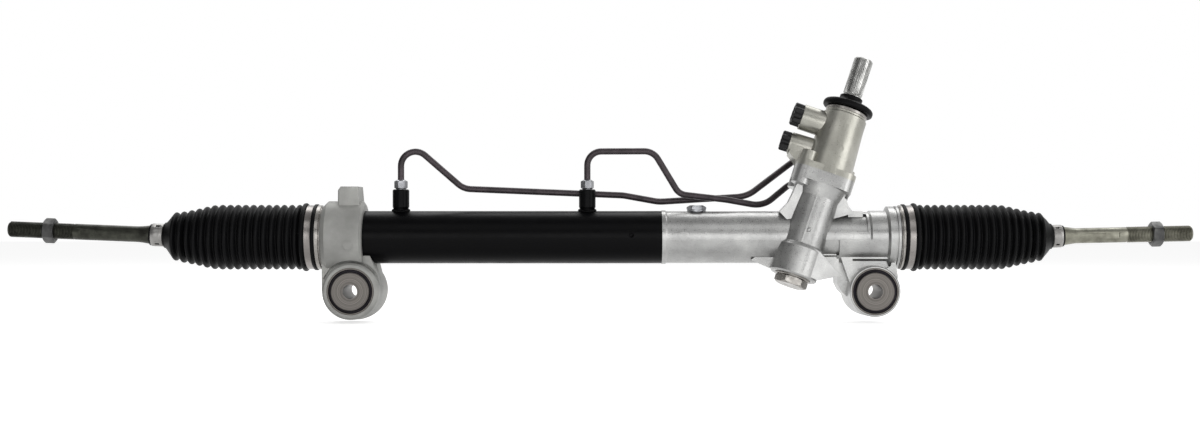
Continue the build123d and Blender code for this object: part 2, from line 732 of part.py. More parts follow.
def make_dust_cover():
    base = cover_foot + seat_gap
    rim_low = valve_top + dust_rim_start
    rim_top = rim_low + dust_rim_height
    inner = input_radius + soft_gap
    return spin(tower, [(inner, base), (valve_body_radius - 2, base), (valve_body_radius - 1, rim_low),
                        (dust_rim_radius - 2, rim_low), (dust_rim_radius, rim_low + 2), (dust_rim_radius, rim_top - 3),
                        (dust_rim_radius - 3, rim_top), (dust_boss_radius + 2, rim_top + 2),
                        (dust_boss_radius, rim_top + 4), (dust_boss_radius, valve_top + dust_boss_height),
                        (inner, valve_top + dust_boss_height)])


def make_end_cap():
    top = lower_boss_bottom + 7.5
    cap = rod(tower, cap_thread_radius, lower_boss_bottom, top)
    cap += hexagon(tower, cap_hex, lower_boss_bottom - cap_head, lower_boss_bottom - seat_gap)
    cap += rod(tower, cap_hex / 2, lower_boss_bottom - 1, lower_boss_bottom + 1)
    return cap - rod(tower, cap_thread_radius - 4, lower_boss_bottom - 1, top + 1)


def make_housing_plug():
    place = Plane(origin=(housing_plug_x, 0, rack_height), z_dir=(0, 0, 1)).location
    seat = barrel_radius
    plug = hexagon(place, housing_plug_hex, seat + seat_gap, seat + 6)
    plug += rod(place, 9.4, seat + seat_gap, seat + 1.6)
    return plug + rod(place, housing_plug_thread, 15.5, seat + 1)


# Rack guide
def make_rack_guide():
    saddle = rack_radius + run_gap + liner_thickness + seat_gap
    plunger = rod(guide, guide_radius, 5, 5 + guide_body)
    plunger -= rod(along_rack, saddle, pinion_x - 30, pinion_x + 30)
    return plunger - rod(guide, 11, 5 + guide_body - 5, 6 + guide_body)


def make_guide_liner():
    inner = rack_radius + run_gap
    shell = ring(along_rack, inner + liner_thickness, inner, pinion_x - 15, pinion_x + 15)
    return shell & rod(guide, guide_radius - 3, 5.4, 40)


def make_guide_springs():
    bottom = 5 + guide_body - 5
    discs = []
    for index in range(4):
        low = bottom + 0.05 + index * 2.1
        rise_one = 0.9 if index % 2 else 0.0
        rise_two = 0.9 - rise_one
        discs.append(spin(guide, [(4.2, low + rise_one), (10.6, low + rise_two), (10.6, low + rise_two + 1.1),
                                  (4.2, low + rise_one + 1.1)]))
    return Compound(children=discs)


def make_guide_cap():
    start = 5 + guide_body - 5 + 0.1 + 4 * 2.1
    end = start + guide_cap_length
    cap = rod(guide, guide_radius - 0.1, start, end)
    return cap + hexagon(guide, guide_cap_hex, end - 1, end + 7)


def make_guide_nut():
    start = guide_boss_reach + seat_gap
    nut = hexagon(guide, guide_nut_hex, start, start + guide_nut_height)
    return nut - rod(guide, guide_radius, start - 1, start + guide_nut_height + 1)


# Seals and bushes along the rack
def make_inner_seal():
    return ring(along_rack, tube_bore - 0.05, rack_radius + run_gap, spigot_left - rod_seal_length, spigot_left - 0.05)


def make_rack_bush():
    return ring(along_rack, bush_radius, rack_radius + run_gap, spigot_left + 0.1, spigot_left + bush_length - 0.1)


def make_end_bush():
    return ring(along_rack, tube_bore - 0.05, rack_radius + run_gap, tube_left + 0.1, tube_left + bush_length)


def make_end_seal():
    start = tube_left + bush_length + 0.05
    return ring(along_rack, tube_bore - 0.05, rack_radius + run_gap, start, start + rod_seal_length)


# Mounting bushes
def make_bush_shells():
    half = eye_length / 2
    return Compound(children=[ring(eye_frame(x), bush_outer_radius, bush_outer_radius - bush_shell, -half, half)
                              for x in (left_eye, right_eye)])


def make_bush_rubbers():
    half = eye_length / 2 - 0.6
    outer = bush_outer_radius - bush_shell - seat_gap
    return Compound(children=[ring(eye_frame(x), outer, bush_core_radius + seat_gap, -half, half)
                              for x in (left_eye, right_eye)])


def make_bush_cores():
    half = eye_length / 2 - 0.5
    cores = []
    for x in (left_eye, right_eye):
        end = half + bush_flange
        outline = [(bolt_radius, -end), (bush_flange_radius - 0.6, -end), (bush_flange_radius, -end + 0.6),
                   (bush_flange_radius, -half), (bush_core_radius, -half), (bush_core_radius, half),
                   (bush_flange_radius, half), (bush_flange_radius, end - 0.6), (bush_flange_radius - 0.6, end),
                   (bolt_radius, end)]
        cores.append(spin(eye_frame(x), outline))
    return Compound(children=cores)


# Rack ends, tie rods and nuts
def make_rack_end(face, ball, side, place):
    start, end = sorted((face + side * 1, face - side * socket_stud_length))
    stud = rod(along_rack, socket_stud, start, end)
    shoulder = ball_offset + 4
    outline = [(0, seat_gap), (socket_radius, seat_gap), (socket_radius, shoulder),
               (socket_radius - 2.5, shoulder + 3), (0, shoulder + 3)]
    cup = spin(along_rack, [(radius, face + side * reach) for radius, reach in outline])
    lips = spin(along_rack, [(radius, face + side * reach) for radius, reach in [
        (0, shoulder + 2), (socket_radius - 2.5, shoulder + 2), (socket_radius - 3.5, shoulder + 5),
        (0, shoulder + 5)]])
    cup += lips
    cup -= Pos(ball, 0, rack_height) * Sphere(ball_radius + seat_thickness + seat_gap)
    mouth = spin(along_rack, [(radius, ball + side * reach) for radius, reach in [
        (0, 0), (4, 0), (17, 20), (0, 20)]])
    return cup - mouth + stud


def make_ball_seats():
    seats = []
    for ball, side in ((left_ball, -1), (right_ball, 1)):
        centre = Pos(ball, 0, rack_height)
        seat = centre * Sphere(ball_radius + seat_thickness) - centre * Sphere(ball_radius + run_gap)
        mouth = spin(along_rack, [(radius, ball + side * reach) for radius, reach in [
            (0, 0), (ball_radius + 4, 2.5), (ball_radius + 4, 20), (0, 20)]])
        seats.append(seat - mouth)
    return Compound(children=seats)


def make_claw_washers():
    washers = []
    for face, side in ((rack_left, -1), (rack_right, 1)):
        band = spin(along_rack, [(radius, face + side * reach) for radius, reach in [
            (rack_radius + 0.1, -6), (rack_radius + 1.3, -6), (rack_radius + 1.3, -1.3), (socket_radius + 1.4, -1.3),
            (socket_radius + 1.4, 5), (socket_radius + 0.2, 5), (socket_radius + 0.2, -0.1), (rack_radius + 0.1, -0.1)]])
        washers.append(band)
    return Compound(children=washers)


def make_tie_rod(place, length):
    thread_start = length - thread_length
    body = spin(place, [(0, 6), (rod_neck_radius, 6), (rod_neck_radius, 26), (shank_radius + 0.6, 34),
                        (shank_radius + 0.6, 46), (shank_radius, 50), (shank_radius, thread_start - 2),
                        (thread_radius, thread_start), (thread_radius, length - 1.5), (thread_radius - 1.5, length),
                        (0, length)])
    body += place * Sphere(ball_radius)
    for side in (-1, 1):
        flat = place * Pos(0, side * (shank_radius - 1.2), thread_start - 24) * Box(
            30, 10, 14, align=(Align.CENTER, Align.MIN if side > 0 else Align.MAX, Align.MIN))
        body -= flat
    return body


def make_jam_nut(place, length, inset):
    start = length - inset - nut_height
    nut = hexagon(place, nut_hex, start, start + nut_height)
    round_off = spin(place, [(0, start), (nut_hex / 2 - 0.3, start), (nut_hex / 2 + 2.2, start + 1.5),
                             (nut_hex / 2 + 2.2, start + nut_height - 1.5), (nut_hex / 2 - 0.3, start + nut_height),
                             (0, start + nut_height)])
    return (nut & round_off) - rod(place, thread_radius + run_gap, start - 1, start + nut_height + 1)


# Boots
def boot_folds(length, last_fold):
    # Radii and distances from the lip of every crest, with the valley that follows it
    pitch = (length - last_fold - first_fold) / (fold_count - 1)
    points = []
    for index in range(fold_count):
        late = index - fold_count + len(fold_taper)
        crest = boot_radius - (fold_taper[late] if late >= 0 else 0)
        points += [(crest, first_fold + index * pitch), (crest - fold_depth, first_fold + (index + 0.5) * pitch)]
    return points


def make_boot(lip, side, length, last_fold, clip_width, place, ball):
    tail = clip_width + tail_margin
    seat = boot_lip_radius - 2
    bead = boot_lip + clamp_seat
    folds = boot_folds(length, last_fold)
    outer = [(0, 0), (boot_lip_radius, 0), (boot_lip_radius, boot_lip), (seat, boot_lip), (seat, bead),
             (boot_bead_radius, bead + 1), (boot_bead_radius, bead + 3.4), (boot_radius - 1, bead + 5.4), *folds,
             (12.5, length - tail), (0, length - tail)]
    hollow = neck_radius + 1.2 + 2 * soft_gap
    inner = [(0, -1), (neck_radius + soft_gap, -1), (neck_radius + soft_gap, bead - 0.5), (hollow, bead + 1),
             (hollow, bead + 5.4), *[(radius - boot_wall, reach) for radius, reach in folds],
             (11, length - tail), (0, length - tail)]
    outside = spin(along_rack, [(radius, lip + side * reach) for radius, reach in outer])
    inside = spin(along_rack, [(radius, lip + side * reach) for radius, reach in inner])
    tail_end = length - abs(ball - lip)
    tail_start = tail_end - tail
    groove = clip_radius - 1.7
    outside += spin(place, [(0, tail_start - 4), (12.8, tail_start - 4), (12.8, tail_start + 1.6),
                            (groove, tail_start + 2.1), (groove, tail_end - 2.5), (11.2, tail_end - 2),
                            (11.2, tail_end), (0, tail_end)])
    inside += rod(place, shank_radius + 0.6 + soft_gap, tail_start - 8, tail_end + 1)
    return outside - inside


def make_boot_clamp(lip, side):
    seat = boot_lip_radius - 2
    start, end = sorted((lip + side * (boot_lip + 0.3), lip + side * (boot_lip + clamp_seat - 0.6)))
    band = ring(along_rack, seat + 0.05 + clamp_thickness, seat + 0.05, start, end)
    place = along_rack * Rot(0, 0, ear_angle) * Pos(seat + clamp_thickness - 0.4, 0, (start + end) / 2)
    return band + place * Box(4, 6, 4.5, align=(Align.MIN, Align.CENTER, Align.CENTER))


def make_boot_clip(place, length, width, ball, lip):
    end = length - abs(ball - lip) - 2.6
    clip = ring(place, clip_radius, clip_radius - 1.7 + soft_gap, end - width, end)
    tang = place * Rot(0, 0, ear_angle) * Pos(clip_radius - 0.5, 0, end - width / 2) * Box(2.5, 7, 6, align=(
        Align.MIN, Align.CENTER, Align.CENTER))
    return clip + tang


# Transfer lines
def make_line(points, radii):
    path = FilletPolyline(*points, radius=radii)
    start = Plane(origin=path @ 0, z_dir=path % 0)
    return sweep(start * Circle(line_radius), path=path)


def tower_point(right, behind, height):
    return (tower * Pos(right, behind, height)).position


def left_line_points():
    x = left_port
    top = rack_height + port_height - 7
    mouth = line_boss_reach
    high = line_ports()[0]
    between = right_port - left_port
    return [Vector(x, 0, top), Vector(x, 0, rack_height + 102.7), Vector(x + 0.33 * between, 13, rack_height + 48.6),
            Vector(right_port + 0.166 * line_run, 14, rack_height + 42),
            Vector(right_port + 0.332 * line_run, 14, rack_height + 35.5),
            Vector(right_port + 0.742 * line_run, 15, rack_height + 41),
            tower_point(-32, 46, valve_foot + 16), tower_point(0, 70, high), tower_point(0, mouth - 6, high)]


def right_line_points():
    x = right_port
    top = rack_height + port_height - 7
    mouth = line_boss_reach
    low = line_ports()[1]
    return [Vector(x, 0, top), Vector(x, 0, rack_height + 85.7), Vector(x + 0.304 * line_run, 1, rack_height + 86),
            Vector(x + 0.424 * line_run, 3, rack_height + 43), Vector(x + 0.645 * line_run, 5, rack_height + 37.5),
            Vector(x + 0.816 * line_run, 14, rack_height + 31), tower_point(-30, 38, valve_foot - 12),
            tower_point(0, 70, low), tower_point(0, mouth - 6, low)]


def make_line_nut(place, seat):
    nut = hexagon(place, line_nut_hex, seat + seat_gap, seat + line_nut_height)
    nut += rod(place, line_nut_hex / 2 - 0.7, seat - 6.5, seat + 1)
    return nut - rod(place, line_radius + line_gap, seat - 12, seat + line_nut_height + 1)


def make_cylinder_nuts():
    places = [Plane(origin=(x, 0, rack_height), z_dir=(0, 0, 1)).location for x in (left_port, right_port)]
    return Compound(children=[make_line_nut(place, port_height) for place in places])


def make_valve_nuts():
    return Compound(children=[make_line_nut(line_frame(height), line_boss_reach) for height in line_ports()])


os.makedirs("parts", exist_ok=True)
ports = hose_ports()
wide_bend = 0.184 * line_run
mid_bend = 0.138 * line_run
pieces = {
    "gear_housing": make_gear_housing(),
    "cylinder_tube": make_cylinder_tube(),
    "end_bracket": make_end_bracket(),
    "valve_housing": make_valve_housing(),
    "valve_housing_screws": make_valve_screws(),
    "valve_housing_seal": make_valve_seal(),
    "pinion_end_cap": make_end_cap(),
    "housing_plug": make_housing_plug(),
    "lower_bearing": make_lower_bearing(),
    "middle_bearing": make_middle_bearing(),
    "pinion_seal": make_pinion_seal(),
    "upper_bearing": make_upper_bearing(),
    "input_shaft_seal": make_input_seal(),
    "dust_cover": make_dust_cover(),
    "rack_guide": make_rack_guide(),
    "guide_liner": make_guide_liner(),
    "guide_disc_springs": make_guide_springs(),
    "guide_cap": make_guide_cap(),
    "guide_lock_nut": make_guide_nut(),
    "inner_rod_seal": make_inner_seal(),
    "rack_bush": make_rack_bush(),
    "end_bush": make_end_bush(),
    "end_rod_seal": make_end_seal(),
    "bush_shells": make_bush_shells(),
    "bush_rubbers": make_bush_rubbers(),
    "bush_cores": make_bush_cores(),
    "left_transfer_line": make_line(left_line_points(), [14.5, 20, wide_bend, wide_bend, mid_bend, 22, 16]),
    "right_transfer_line": make_line(right_line_points(), [14, 16, 14, wide_bend, mid_bend, 18, 16]),
    "cylinder_line_nuts": make_cylinder_nuts(),
    "valve_line_nuts": make_valve_nuts(),
    "pressure_port_plug": make_hose_plug(*ports[0]),
    "return_port_plug": make_hose_plug(*ports[1]),
    "left_boot": make_boot(left_lip, -1, left_boot_length, left_last_fold, left_clip_width, left_rod_frame,
                           left_ball),
    "right_boot": make_boot(right_lip, 1, right_boot_length, right_last_fold, right_clip_width, right_rod_frame,
                            right_ball),
    "left_boot_clamp": make_boot_clamp(left_lip, -1),
    "right_boot_clamp": make_boot_clamp(right_lip, 1),
    "rack_bar": make_rack_bar(),
    "piston": make_piston(),
    "piston_ring": make_piston_ring(),
    "piston_clips": make_piston_clips(),
    "left_rack_end": make_rack_end(rack_left, left_ball, -1, left_rod_frame),
    "right_rack_end": make_rack_end(rack_right, right_ball, 1, right_rod_frame),
    "ball_seats": make_ball_seats(),
    "claw_washers": make_claw_washers(),
    "pinion_gear": make_pinion_gear(),
    "pinion_nut": make_pinion_nut(),
    "valve_sleeve": make_valve_sleeve(),
    "sleeve_rings": make_sleeve_rings(),
    "sleeve_pin": make_sleeve_pin(),
    "torsion_bar": make_torsion_bar(),
    "input_shaft": make_input_shaft(),
    "torsion_bar_pin": make_bar_pin(),
    "left_tie_rod": make_tie_rod(left_rod_frame, left_rod_length),
    "right_tie_rod": make_tie_rod(right_rod_frame, right_rod_length),
    "left_jam_nut": make_jam_nut(left_rod_frame, left_rod_length, left_nut_inset),
    "right_jam_nut": make_jam_nut(right_rod_frame, right_rod_length, right_nut_inset),
    "left_boot_clip": make_boot_clip(left_rod_frame, left_boot_length, left_clip_width, left_ball, left_lip),
    "right_boot_clip": make_boot_clip(right_rod_frame, right_boot_length, right_clip_width, right_ball, right_lip),
}
for name, shape in pieces.items():
    export_step(shape, f"parts/{name}.step")
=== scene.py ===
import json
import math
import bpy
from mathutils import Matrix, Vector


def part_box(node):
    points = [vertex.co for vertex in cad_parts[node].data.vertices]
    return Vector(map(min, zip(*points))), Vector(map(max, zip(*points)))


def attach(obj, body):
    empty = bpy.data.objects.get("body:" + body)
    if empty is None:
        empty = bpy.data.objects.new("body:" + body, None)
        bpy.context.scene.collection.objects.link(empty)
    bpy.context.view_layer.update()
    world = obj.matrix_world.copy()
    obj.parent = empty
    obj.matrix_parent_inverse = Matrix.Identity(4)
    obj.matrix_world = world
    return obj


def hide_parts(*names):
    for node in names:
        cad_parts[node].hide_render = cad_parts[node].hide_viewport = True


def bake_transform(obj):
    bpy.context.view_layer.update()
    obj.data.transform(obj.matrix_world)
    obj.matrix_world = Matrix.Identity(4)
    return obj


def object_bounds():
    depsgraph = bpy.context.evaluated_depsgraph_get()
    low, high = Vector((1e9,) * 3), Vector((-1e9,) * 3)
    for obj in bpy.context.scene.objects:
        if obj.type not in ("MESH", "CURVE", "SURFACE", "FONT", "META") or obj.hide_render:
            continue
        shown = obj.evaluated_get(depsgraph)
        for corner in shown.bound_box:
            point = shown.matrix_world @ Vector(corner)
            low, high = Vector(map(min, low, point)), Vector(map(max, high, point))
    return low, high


bl_info = {
    "name": "Steering rack",
    "version": (1, 0, 0),
    "blender": (4, 5, 0),
    "location": "View3D > Sidebar > Steering rack",
    "description": "Dresses the steering rack: boots, clamps, threads, splines and finishes",
    "category": "Add Mesh",
}

import bmesh
import bpy
from bpy.props import FloatProperty, IntProperty, PointerProperty, StringProperty
from mathutils import Matrix, Vector

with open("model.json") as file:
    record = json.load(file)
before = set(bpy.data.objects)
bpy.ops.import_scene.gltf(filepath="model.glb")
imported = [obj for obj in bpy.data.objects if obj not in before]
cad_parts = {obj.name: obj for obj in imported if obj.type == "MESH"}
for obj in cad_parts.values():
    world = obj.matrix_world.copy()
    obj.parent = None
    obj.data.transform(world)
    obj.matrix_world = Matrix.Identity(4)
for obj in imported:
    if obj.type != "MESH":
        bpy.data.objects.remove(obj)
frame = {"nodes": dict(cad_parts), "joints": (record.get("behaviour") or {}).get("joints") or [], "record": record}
nodes = frame["nodes"]
cad_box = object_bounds()
MM = 0.001

# Places taken from the frame
joints = {joint["name"]: joint for joint in frame["joints"]}
left_ball = Vector(joints["left_tie_rod_swing"]["pos_m"])
right_ball = Vector(joints["right_tie_rod_swing"]["pos_m"])
rack_height = left_ball.z
left_outward = Vector(joints["left_jam_nut_travel"]["axis"])
right_outward = Vector(joints["right_jam_nut_travel"]["axis"])
tower_foot = Vector(joints["pinion_spin"]["pos_m"])
tower_axis = Vector(joints["pinion_spin"]["axis"])
bush_shell_radius = 23.3 * MM
eye_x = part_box("bush_shells")[1].x - bush_shell_radius


def of_side(side):
    """The name, ball and outward axis of one side's tie rod: -1 is the left side and 1 the right"""
    return ("left", left_ball, left_outward) if side < 0 else ("right", right_ball, right_outward)


def boot_lip(side):
    """Where the lip of one side's boot stands along X"""
    low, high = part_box(of_side(side)[0] + "_boot")
    return high.x if side < 0 else low.x


# Small helpers
def linear(colour):
    """An sRGB hex colour as linear RGBA"""
    parts = [int(colour[place:place + 2], 16) / 255 for place in (1, 3, 5)]
    parts = [part / 12.92 if part <= 0.04045 else ((part + 0.055) / 1.055) ** 2.4 for part in parts]
    return parts + [1.0]


def facing(origin, axis, side=(0, 1, 0)):
    """The matrix whose Z runs along axis and whose Y is as near to side as it can be"""
    z = Vector(axis).normalized()
    x = Vector(side).cross(z).normalized()
    y = z.cross(x)
    turn = Matrix((x, y, z)).transposed().to_4x4()
    return Matrix.Translation(origin) @ turn


def smoothstep(share):
    share = min(max(share, 0.0), 1.0)
    return share * share * (3 - 2 * share)


def spin_outline(shape, points, steps=64, closed=True, travel=0.0, turns=1):
    """Turns an outline of (radius, height) points in mm about Z, rising by travel mm a turn"""
    verts = [shape.verts.new((radius * MM, 0, height * MM)) for radius, height in points]
    pairs = list(zip(verts, verts[1:]))
    if closed:
        pairs.append((verts[-1], verts[0]))
    edges = [shape.edges.new(pair) for pair in pairs]
    bmesh.ops.spin(shape, geom=verts + edges, cent=(0, 0, 0), axis=(0, 0, 1),
                   dvec=(0, 0, travel * MM / steps), angle=math.tau * turns, steps=int(steps * turns),
                   use_merge=travel == 0, use_duplicate=False)
    bmesh.ops.remove_doubles(shape, verts=shape.verts, dist=2e-6)


def face_outward(shape):
    """Turns an open shell's faces away from the local Z axis"""
    bmesh.ops.recalc_face_normals(shape, faces=shape.faces)
    widest = max(shape.faces, key=lambda face: face.calc_center_median().xy.length)
    if widest.normal.xy.dot(widest.calc_center_median().xy) < 0:
        bmesh.ops.reverse_faces(shape, faces=shape.faces)


def add_piece(name, shape, place, body, slot, replaced=(), crisp=35, shell=False):
    """Makes one object from a bmesh drawn about the local Z axis, gives it its body and finish, and hides the CAD
    nodes it replaces
    """
    if shell:
        face_outward(shape)
    else:
        bmesh.ops.recalc_face_normals(shape, faces=shape.faces)
    bmesh.ops.transform(shape, matrix=place, verts=shape.verts)
    mesh = bpy.data.meshes.new(name)
    shape.to_mesh(mesh)
    shape.free()
    mesh.shade_smooth()
    mesh.set_sharp_from_angle(angle=math.radians(crisp))
    mesh.materials.append(finishes[slot])
    piece = bpy.data.objects.new(name, mesh)
    bpy.context.scene.collection.objects.link(piece)
    if body:
        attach(piece, body)
    if replaced:
        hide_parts(*replaced)
    return piece


def add_turned(name, points, place, body, slot, replaced=(), steps=72, crisp=35):
    """A piece turned from one closed outline"""
    shape = bmesh.new()
    spin_outline(shape, points, steps)
    return add_piece(name, shape, place, body, slot, replaced, crisp)


def add_block(shape, size, place, rounding):
    """A softened block, sized in mm, set into a bmesh by a matrix"""
    made = bmesh.ops.create_cube(shape, size=1.0)["verts"]
    bmesh.ops.scale(shape, verts=made, vec=[side * MM for side in size])
    edges = list({edge for vert in made for edge in vert.link_edges})
    done = bmesh.ops.bevel(shape, geom=edges, offset=rounding * MM, offset_type="OFFSET",
                           affect="EDGES", segments=3, profile=0.5, material=-1)
    verts = list({vert for face in done["faces"] for vert in face.verts})
    linked = set(verts)
    for vert in verts:
        linked.update(other for edge in vert.link_edges for other in edge.verts)
    bmesh.ops.transform(shape, matrix=place, verts=list(linked))


def extrude_loop(shape, edges):
    """Extrudes a loop of edges where it stands, and gives its new vertices and edges"""
    made = bmesh.ops.extrude_edge_only(shape, edges=edges)["geom"]
    verts = [item for item in made if isinstance(item, bmesh.types.BMVert)]
    edges = [item for item in made if isinstance(item, bmesh.types.BMEdge)
             and all(vert in verts for vert in item.verts)]
    return verts, edges


def raise_rings(shape, verts, rings):
    """Extrudes an open loop of vertices upwards: each ring is a growth of the radius and a height, in mm"""
    edges = list({edge for vert in verts for edge in vert.link_edges})
    for growth, height in rings:
        verts, edges = extrude_loop(shape, edges)
        for vert in verts:
            reach = vert.co.xy.length
            vert.co.xy *= max(reach + growth * MM, 0.1 * MM) / reach
            vert.co.z = height * MM
    return verts, edges


def add_hexagon(shape, across, bore, start, end, bevel=1.0):
    """A hexagon between two heights, turned to a chamfer at both ends, with a countersunk bore, in mm"""
    facets = 12
    chamfer_slope = 1.732
    verts = bmesh.ops.create_circle(shape, cap_ends=False, radius=1.0, segments=6 * facets)["verts"]
    edges = list({edge for vert in verts for edge in vert.link_edges})
    first = edges
    lifts = [bevel * share for share in (0.0, 0.2, 0.4, 0.6, 0.8, 1.0, 1.3)]
    corner_share = 0.577 - 0.03
    face = across * corner_share - chamfer_slope * bevel
    lower = [(bore, start + 0.9), (bore + 0.8 * (bore > 0), start)]
    lower += [(face + chamfer_slope * lift, start + lift) for lift in lifts]
    upper = [(radius, start + end - height) for radius, height in reversed(lower)]
    for index, (limit, height) in enumerate(lower + upper):
        if index:
            verts, edges = extrude_loop(shape, edges)
        for vert in verts:
            angle = math.atan2(vert.co.y, vert.co.x) if vert.co.xy.length else 0.0
            flat = across / 2 / math.cos((angle % (math.pi / 3)) - math.pi / 6)
            vert.co = Vector((math.cos(angle), math.sin(angle), 0)) * max(min(flat, limit), 0.001) * MM
            vert.co.z = height * MM
    if bore:
        bmesh.ops.bridge_loops(shape, edges=first + edges)
    else:
        bmesh.ops.remove_doubles(shape, verts=shape.verts, dist=5e-6)


def join(shape, other):
    """Adds one bmesh to another and frees it"""
    holder = bpy.data.meshes.new("joined")
    other.to_mesh(holder)
    other.free()
    shape.from_mesh(holder)
    bpy.data.meshes.remove(holder)


def along(distance, turn=0.0, out=0.0):
    """A place at a distance along local Z, turned about it, and moved out from it, in mm and degrees"""
    return (Matrix.Translation((0, 0, distance * MM)) @ Matrix.Rotation(math.radians(turn), 4, "Z")
            @ Matrix.Translation((out * MM, 0, 0)))


tower_place = facing(tower_foot, tower_axis)


# Materials
def add_node(tree, kind, settings=None, links=None):
    """Adds a node with its settings, and links given as input name or number to socket"""
    node = tree.nodes.new(kind)
    for key, value in (settings or {}).items():
        if isinstance(key, str) and key.islower():
            setattr(node, key, value)
        else:
            node.inputs[key].default_value = value
    for key, source in (links or {}).items():
        tree.links.new(source, node.inputs[key])
    return node


def start_material(name, **values):
    material = bpy.data.materials.new(name)
    material.use_nodes = True
    tree = material.node_tree
    shader = tree.nodes["Principled BSDF"]
    for key, value in values.items():
        shader.inputs[key.replace("_", " ")].default_value = value
    place = add_node(tree, "ShaderNodeTexCoord").outputs["Object"]
    return material, tree, shader, place


def per_metre(size_mm):
    """The scale of a noise whose grains are this many millimetres apart"""
    return 1000 / size_mm


def ramp_colours(tree, source, stops):
    ramp = add_node(tree, "ShaderNodeValToRGB", links={"Fac": source})
    elements = ramp.color_ramp.elements
    while len(elements) < len(stops):
        elements.new(0.5)
    for element, (position, colour) in zip(elements, stops):
        element.position = position
        element.color = linear(colour)
    return ramp.outputs["Color"]


def spread(tree, source, low, high, start=0.3, end=0.7):
    mapped = add_node(tree, "ShaderNodeMapRange", {
        "From Min": start, "From Max": end, "To Min": low, "To Max": high}, {"Value": source})
    return mapped.outputs["Result"]


def noise(tree, place, size_mm, detail=4.0, roughness=0.55):
    return add_node(tree, "ShaderNodeTexNoise", {
        "Scale": per_metre(size_mm), "Detail": detail, "Roughness": roughness},
        {"Vector": place}).outputs["Fac"]


def bump(tree, shader, height, depth_mm, strength=1.0, under=None):
    links = {"Height": height}
    if under is not None:
        links["Normal"] = under
    node = add_node(tree, "ShaderNodeBump", {"Strength": strength, "Distance": depth_mm * MM}, links)
    tree.links.new(node.outputs["Normal"], shader.inputs["Normal"])
    return node.outputs["Normal"]


def cast_aluminium(name, dark, middle, light, grain_mm, roughness, metallic=0.85):
    # Die cast aluminium: grey and softly shiny, with a pebbled skin and cloudy patches from the mould
    material, tree, shader, place = start_material(name, Metallic=metallic, Roughness=roughness)
    clouds = noise(tree, place, 28, 3)
    skin = noise(tree, place, grain_mm, 5, 0.6)
    mixed = add_node(tree, "ShaderNodeMath", {"operation": "MULTIPLY_ADD", 1: 0.35},
                     {0: skin, 2: clouds})
    colour = ramp_colours(tree, mixed.outputs["Value"], [(0.38, dark), (0.67, middle), (0.96, light)])
    tree.links.new(colour, shader.inputs["Base Color"])
    tree.links.new(spread(tree, skin, roughness - 0.06, roughness + 0.10), shader.inputs["Roughness"])
    coarse = bump(tree, shader, noise(tree, place, grain_mm * 5, 2), 0.25, 0.35)
    bump(tree, shader, skin, 0.12, 0.6, coarse)
    return material


def gloss_enamel(name, colour):
    # Black stoving enamel on steel tube: a smooth glossy coat with a slight orange peel
    material, tree, shader, place = start_material(
        name, Base_Color=linear(colour), Metallic=0.0, Roughness=0.32, IOR=1.5, Specular_IOR_Level=0.06)
    peel = noise(tree, place, 3.0, 2)
    tree.links.new(spread(tree, noise(tree, place, 18, 3), 0.27, 0.38), shader.inputs["Roughness"])
    bump(tree, shader, peel, 0.03, 0.5)
    return material


def moulded_rubber(name, colour, bright, roughness=0.55, grain_mm=0.6):
    # Moulded chloroprene rubber: black, softly shining, with a bloom that greys its skin in patches
    material, tree, shader, place = start_material(
        name, Metallic=0.0, Roughness=roughness, IOR=1.52, Specular_IOR_Level=0.07)
    bloom = noise(tree, place, 22, 4)
    tree.links.new(ramp_colours(tree, bloom, [(0.35, colour), (0.75, bright)]),
                   shader.inputs["Base Color"])
    tree.links.new(spread(tree, bloom, roughness - 0.08, roughness + 0.08), shader.inputs["Roughness"])
    bump(tree, shader, noise(tree, place, grain_mm, 3), 0.05, 0.5)
    return material


def plated_steel(name, dark, light, roughness=0.3, patch_mm=9.0, metallic=0.95):
    # Steel with a thin plated or phosphated skin: even metal, clouded where the bath left it duller
    material, tree, shader, place = start_material(name, Metallic=metallic, Roughness=roughness)
    clouds = noise(tree, place, patch_mm, 4)
    tree.links.new(ramp_colours(tree, clouds, [(0.32, dark), (0.68, light)]),
                   shader.inputs["Base Color"])
    tree.links.new(spread(tree, clouds, roughness + 0.1, roughness - 0.05), shader.inputs["Roughness"])
    bump(tree, shader, noise(tree, place, 0.7, 3), 0.03, 0.5)
    return material


def turned_steel(name, dark, light, centre_x):
    # Steel faced on a lathe: fine rings about each mounting bore, a few tenths of a millimetre apart
    material, tree, shader, place = start_material(name, Metallic=0.85, Roughness=0.42)
    parts = add_node(tree, "ShaderNodeSeparateXYZ", links={"Vector": place})
    across = add_node(tree, "ShaderNodeMath", {"operation": "ABSOLUTE"}, {0: parts.outputs["X"]})
    offset = add_node(tree, "ShaderNodeMath", {"operation": "SUBTRACT", 1: centre_x},
                      {0: across.outputs[0]})
    flat = add_node(tree, "ShaderNodeCombineXYZ", links={"X": offset.outputs[0],
                                                         "Y": parts.outputs["Z"]})
    radius = add_node(tree, "ShaderNodeVectorMath", {"operation": "LENGTH"},
                      {0: flat.outputs[0]}).outputs["Value"]
    ring_step = 0.9
    waves = add_node(tree, "ShaderNodeMath", {"operation": "MULTIPLY",
                                              1: math.tau * per_metre(ring_step)}, {0: radius})
    rings = add_node(tree, "ShaderNodeMath", {"operation": "SINE"}, {0: waves.outputs[0]}).outputs[0]
    uneven = add_node(tree, "ShaderNodeTexNoise", {
        "noise_dimensions": "1D", "Scale": per_metre(1.6), "Detail": 3.0}, {"W": radius}).outputs["Fac"]
    both = add_node(tree, "ShaderNodeMath", {"operation": "MULTIPLY_ADD", 1: 0.12},
                    {0: rings, 2: uneven}).outputs[0]
    tree.links.new(ramp_colours(tree, both, [(0.3, dark), (0.75, light)]), shader.inputs["Base Color"])
    bump(tree, shader, both, 0.06, 0.5)
    return material


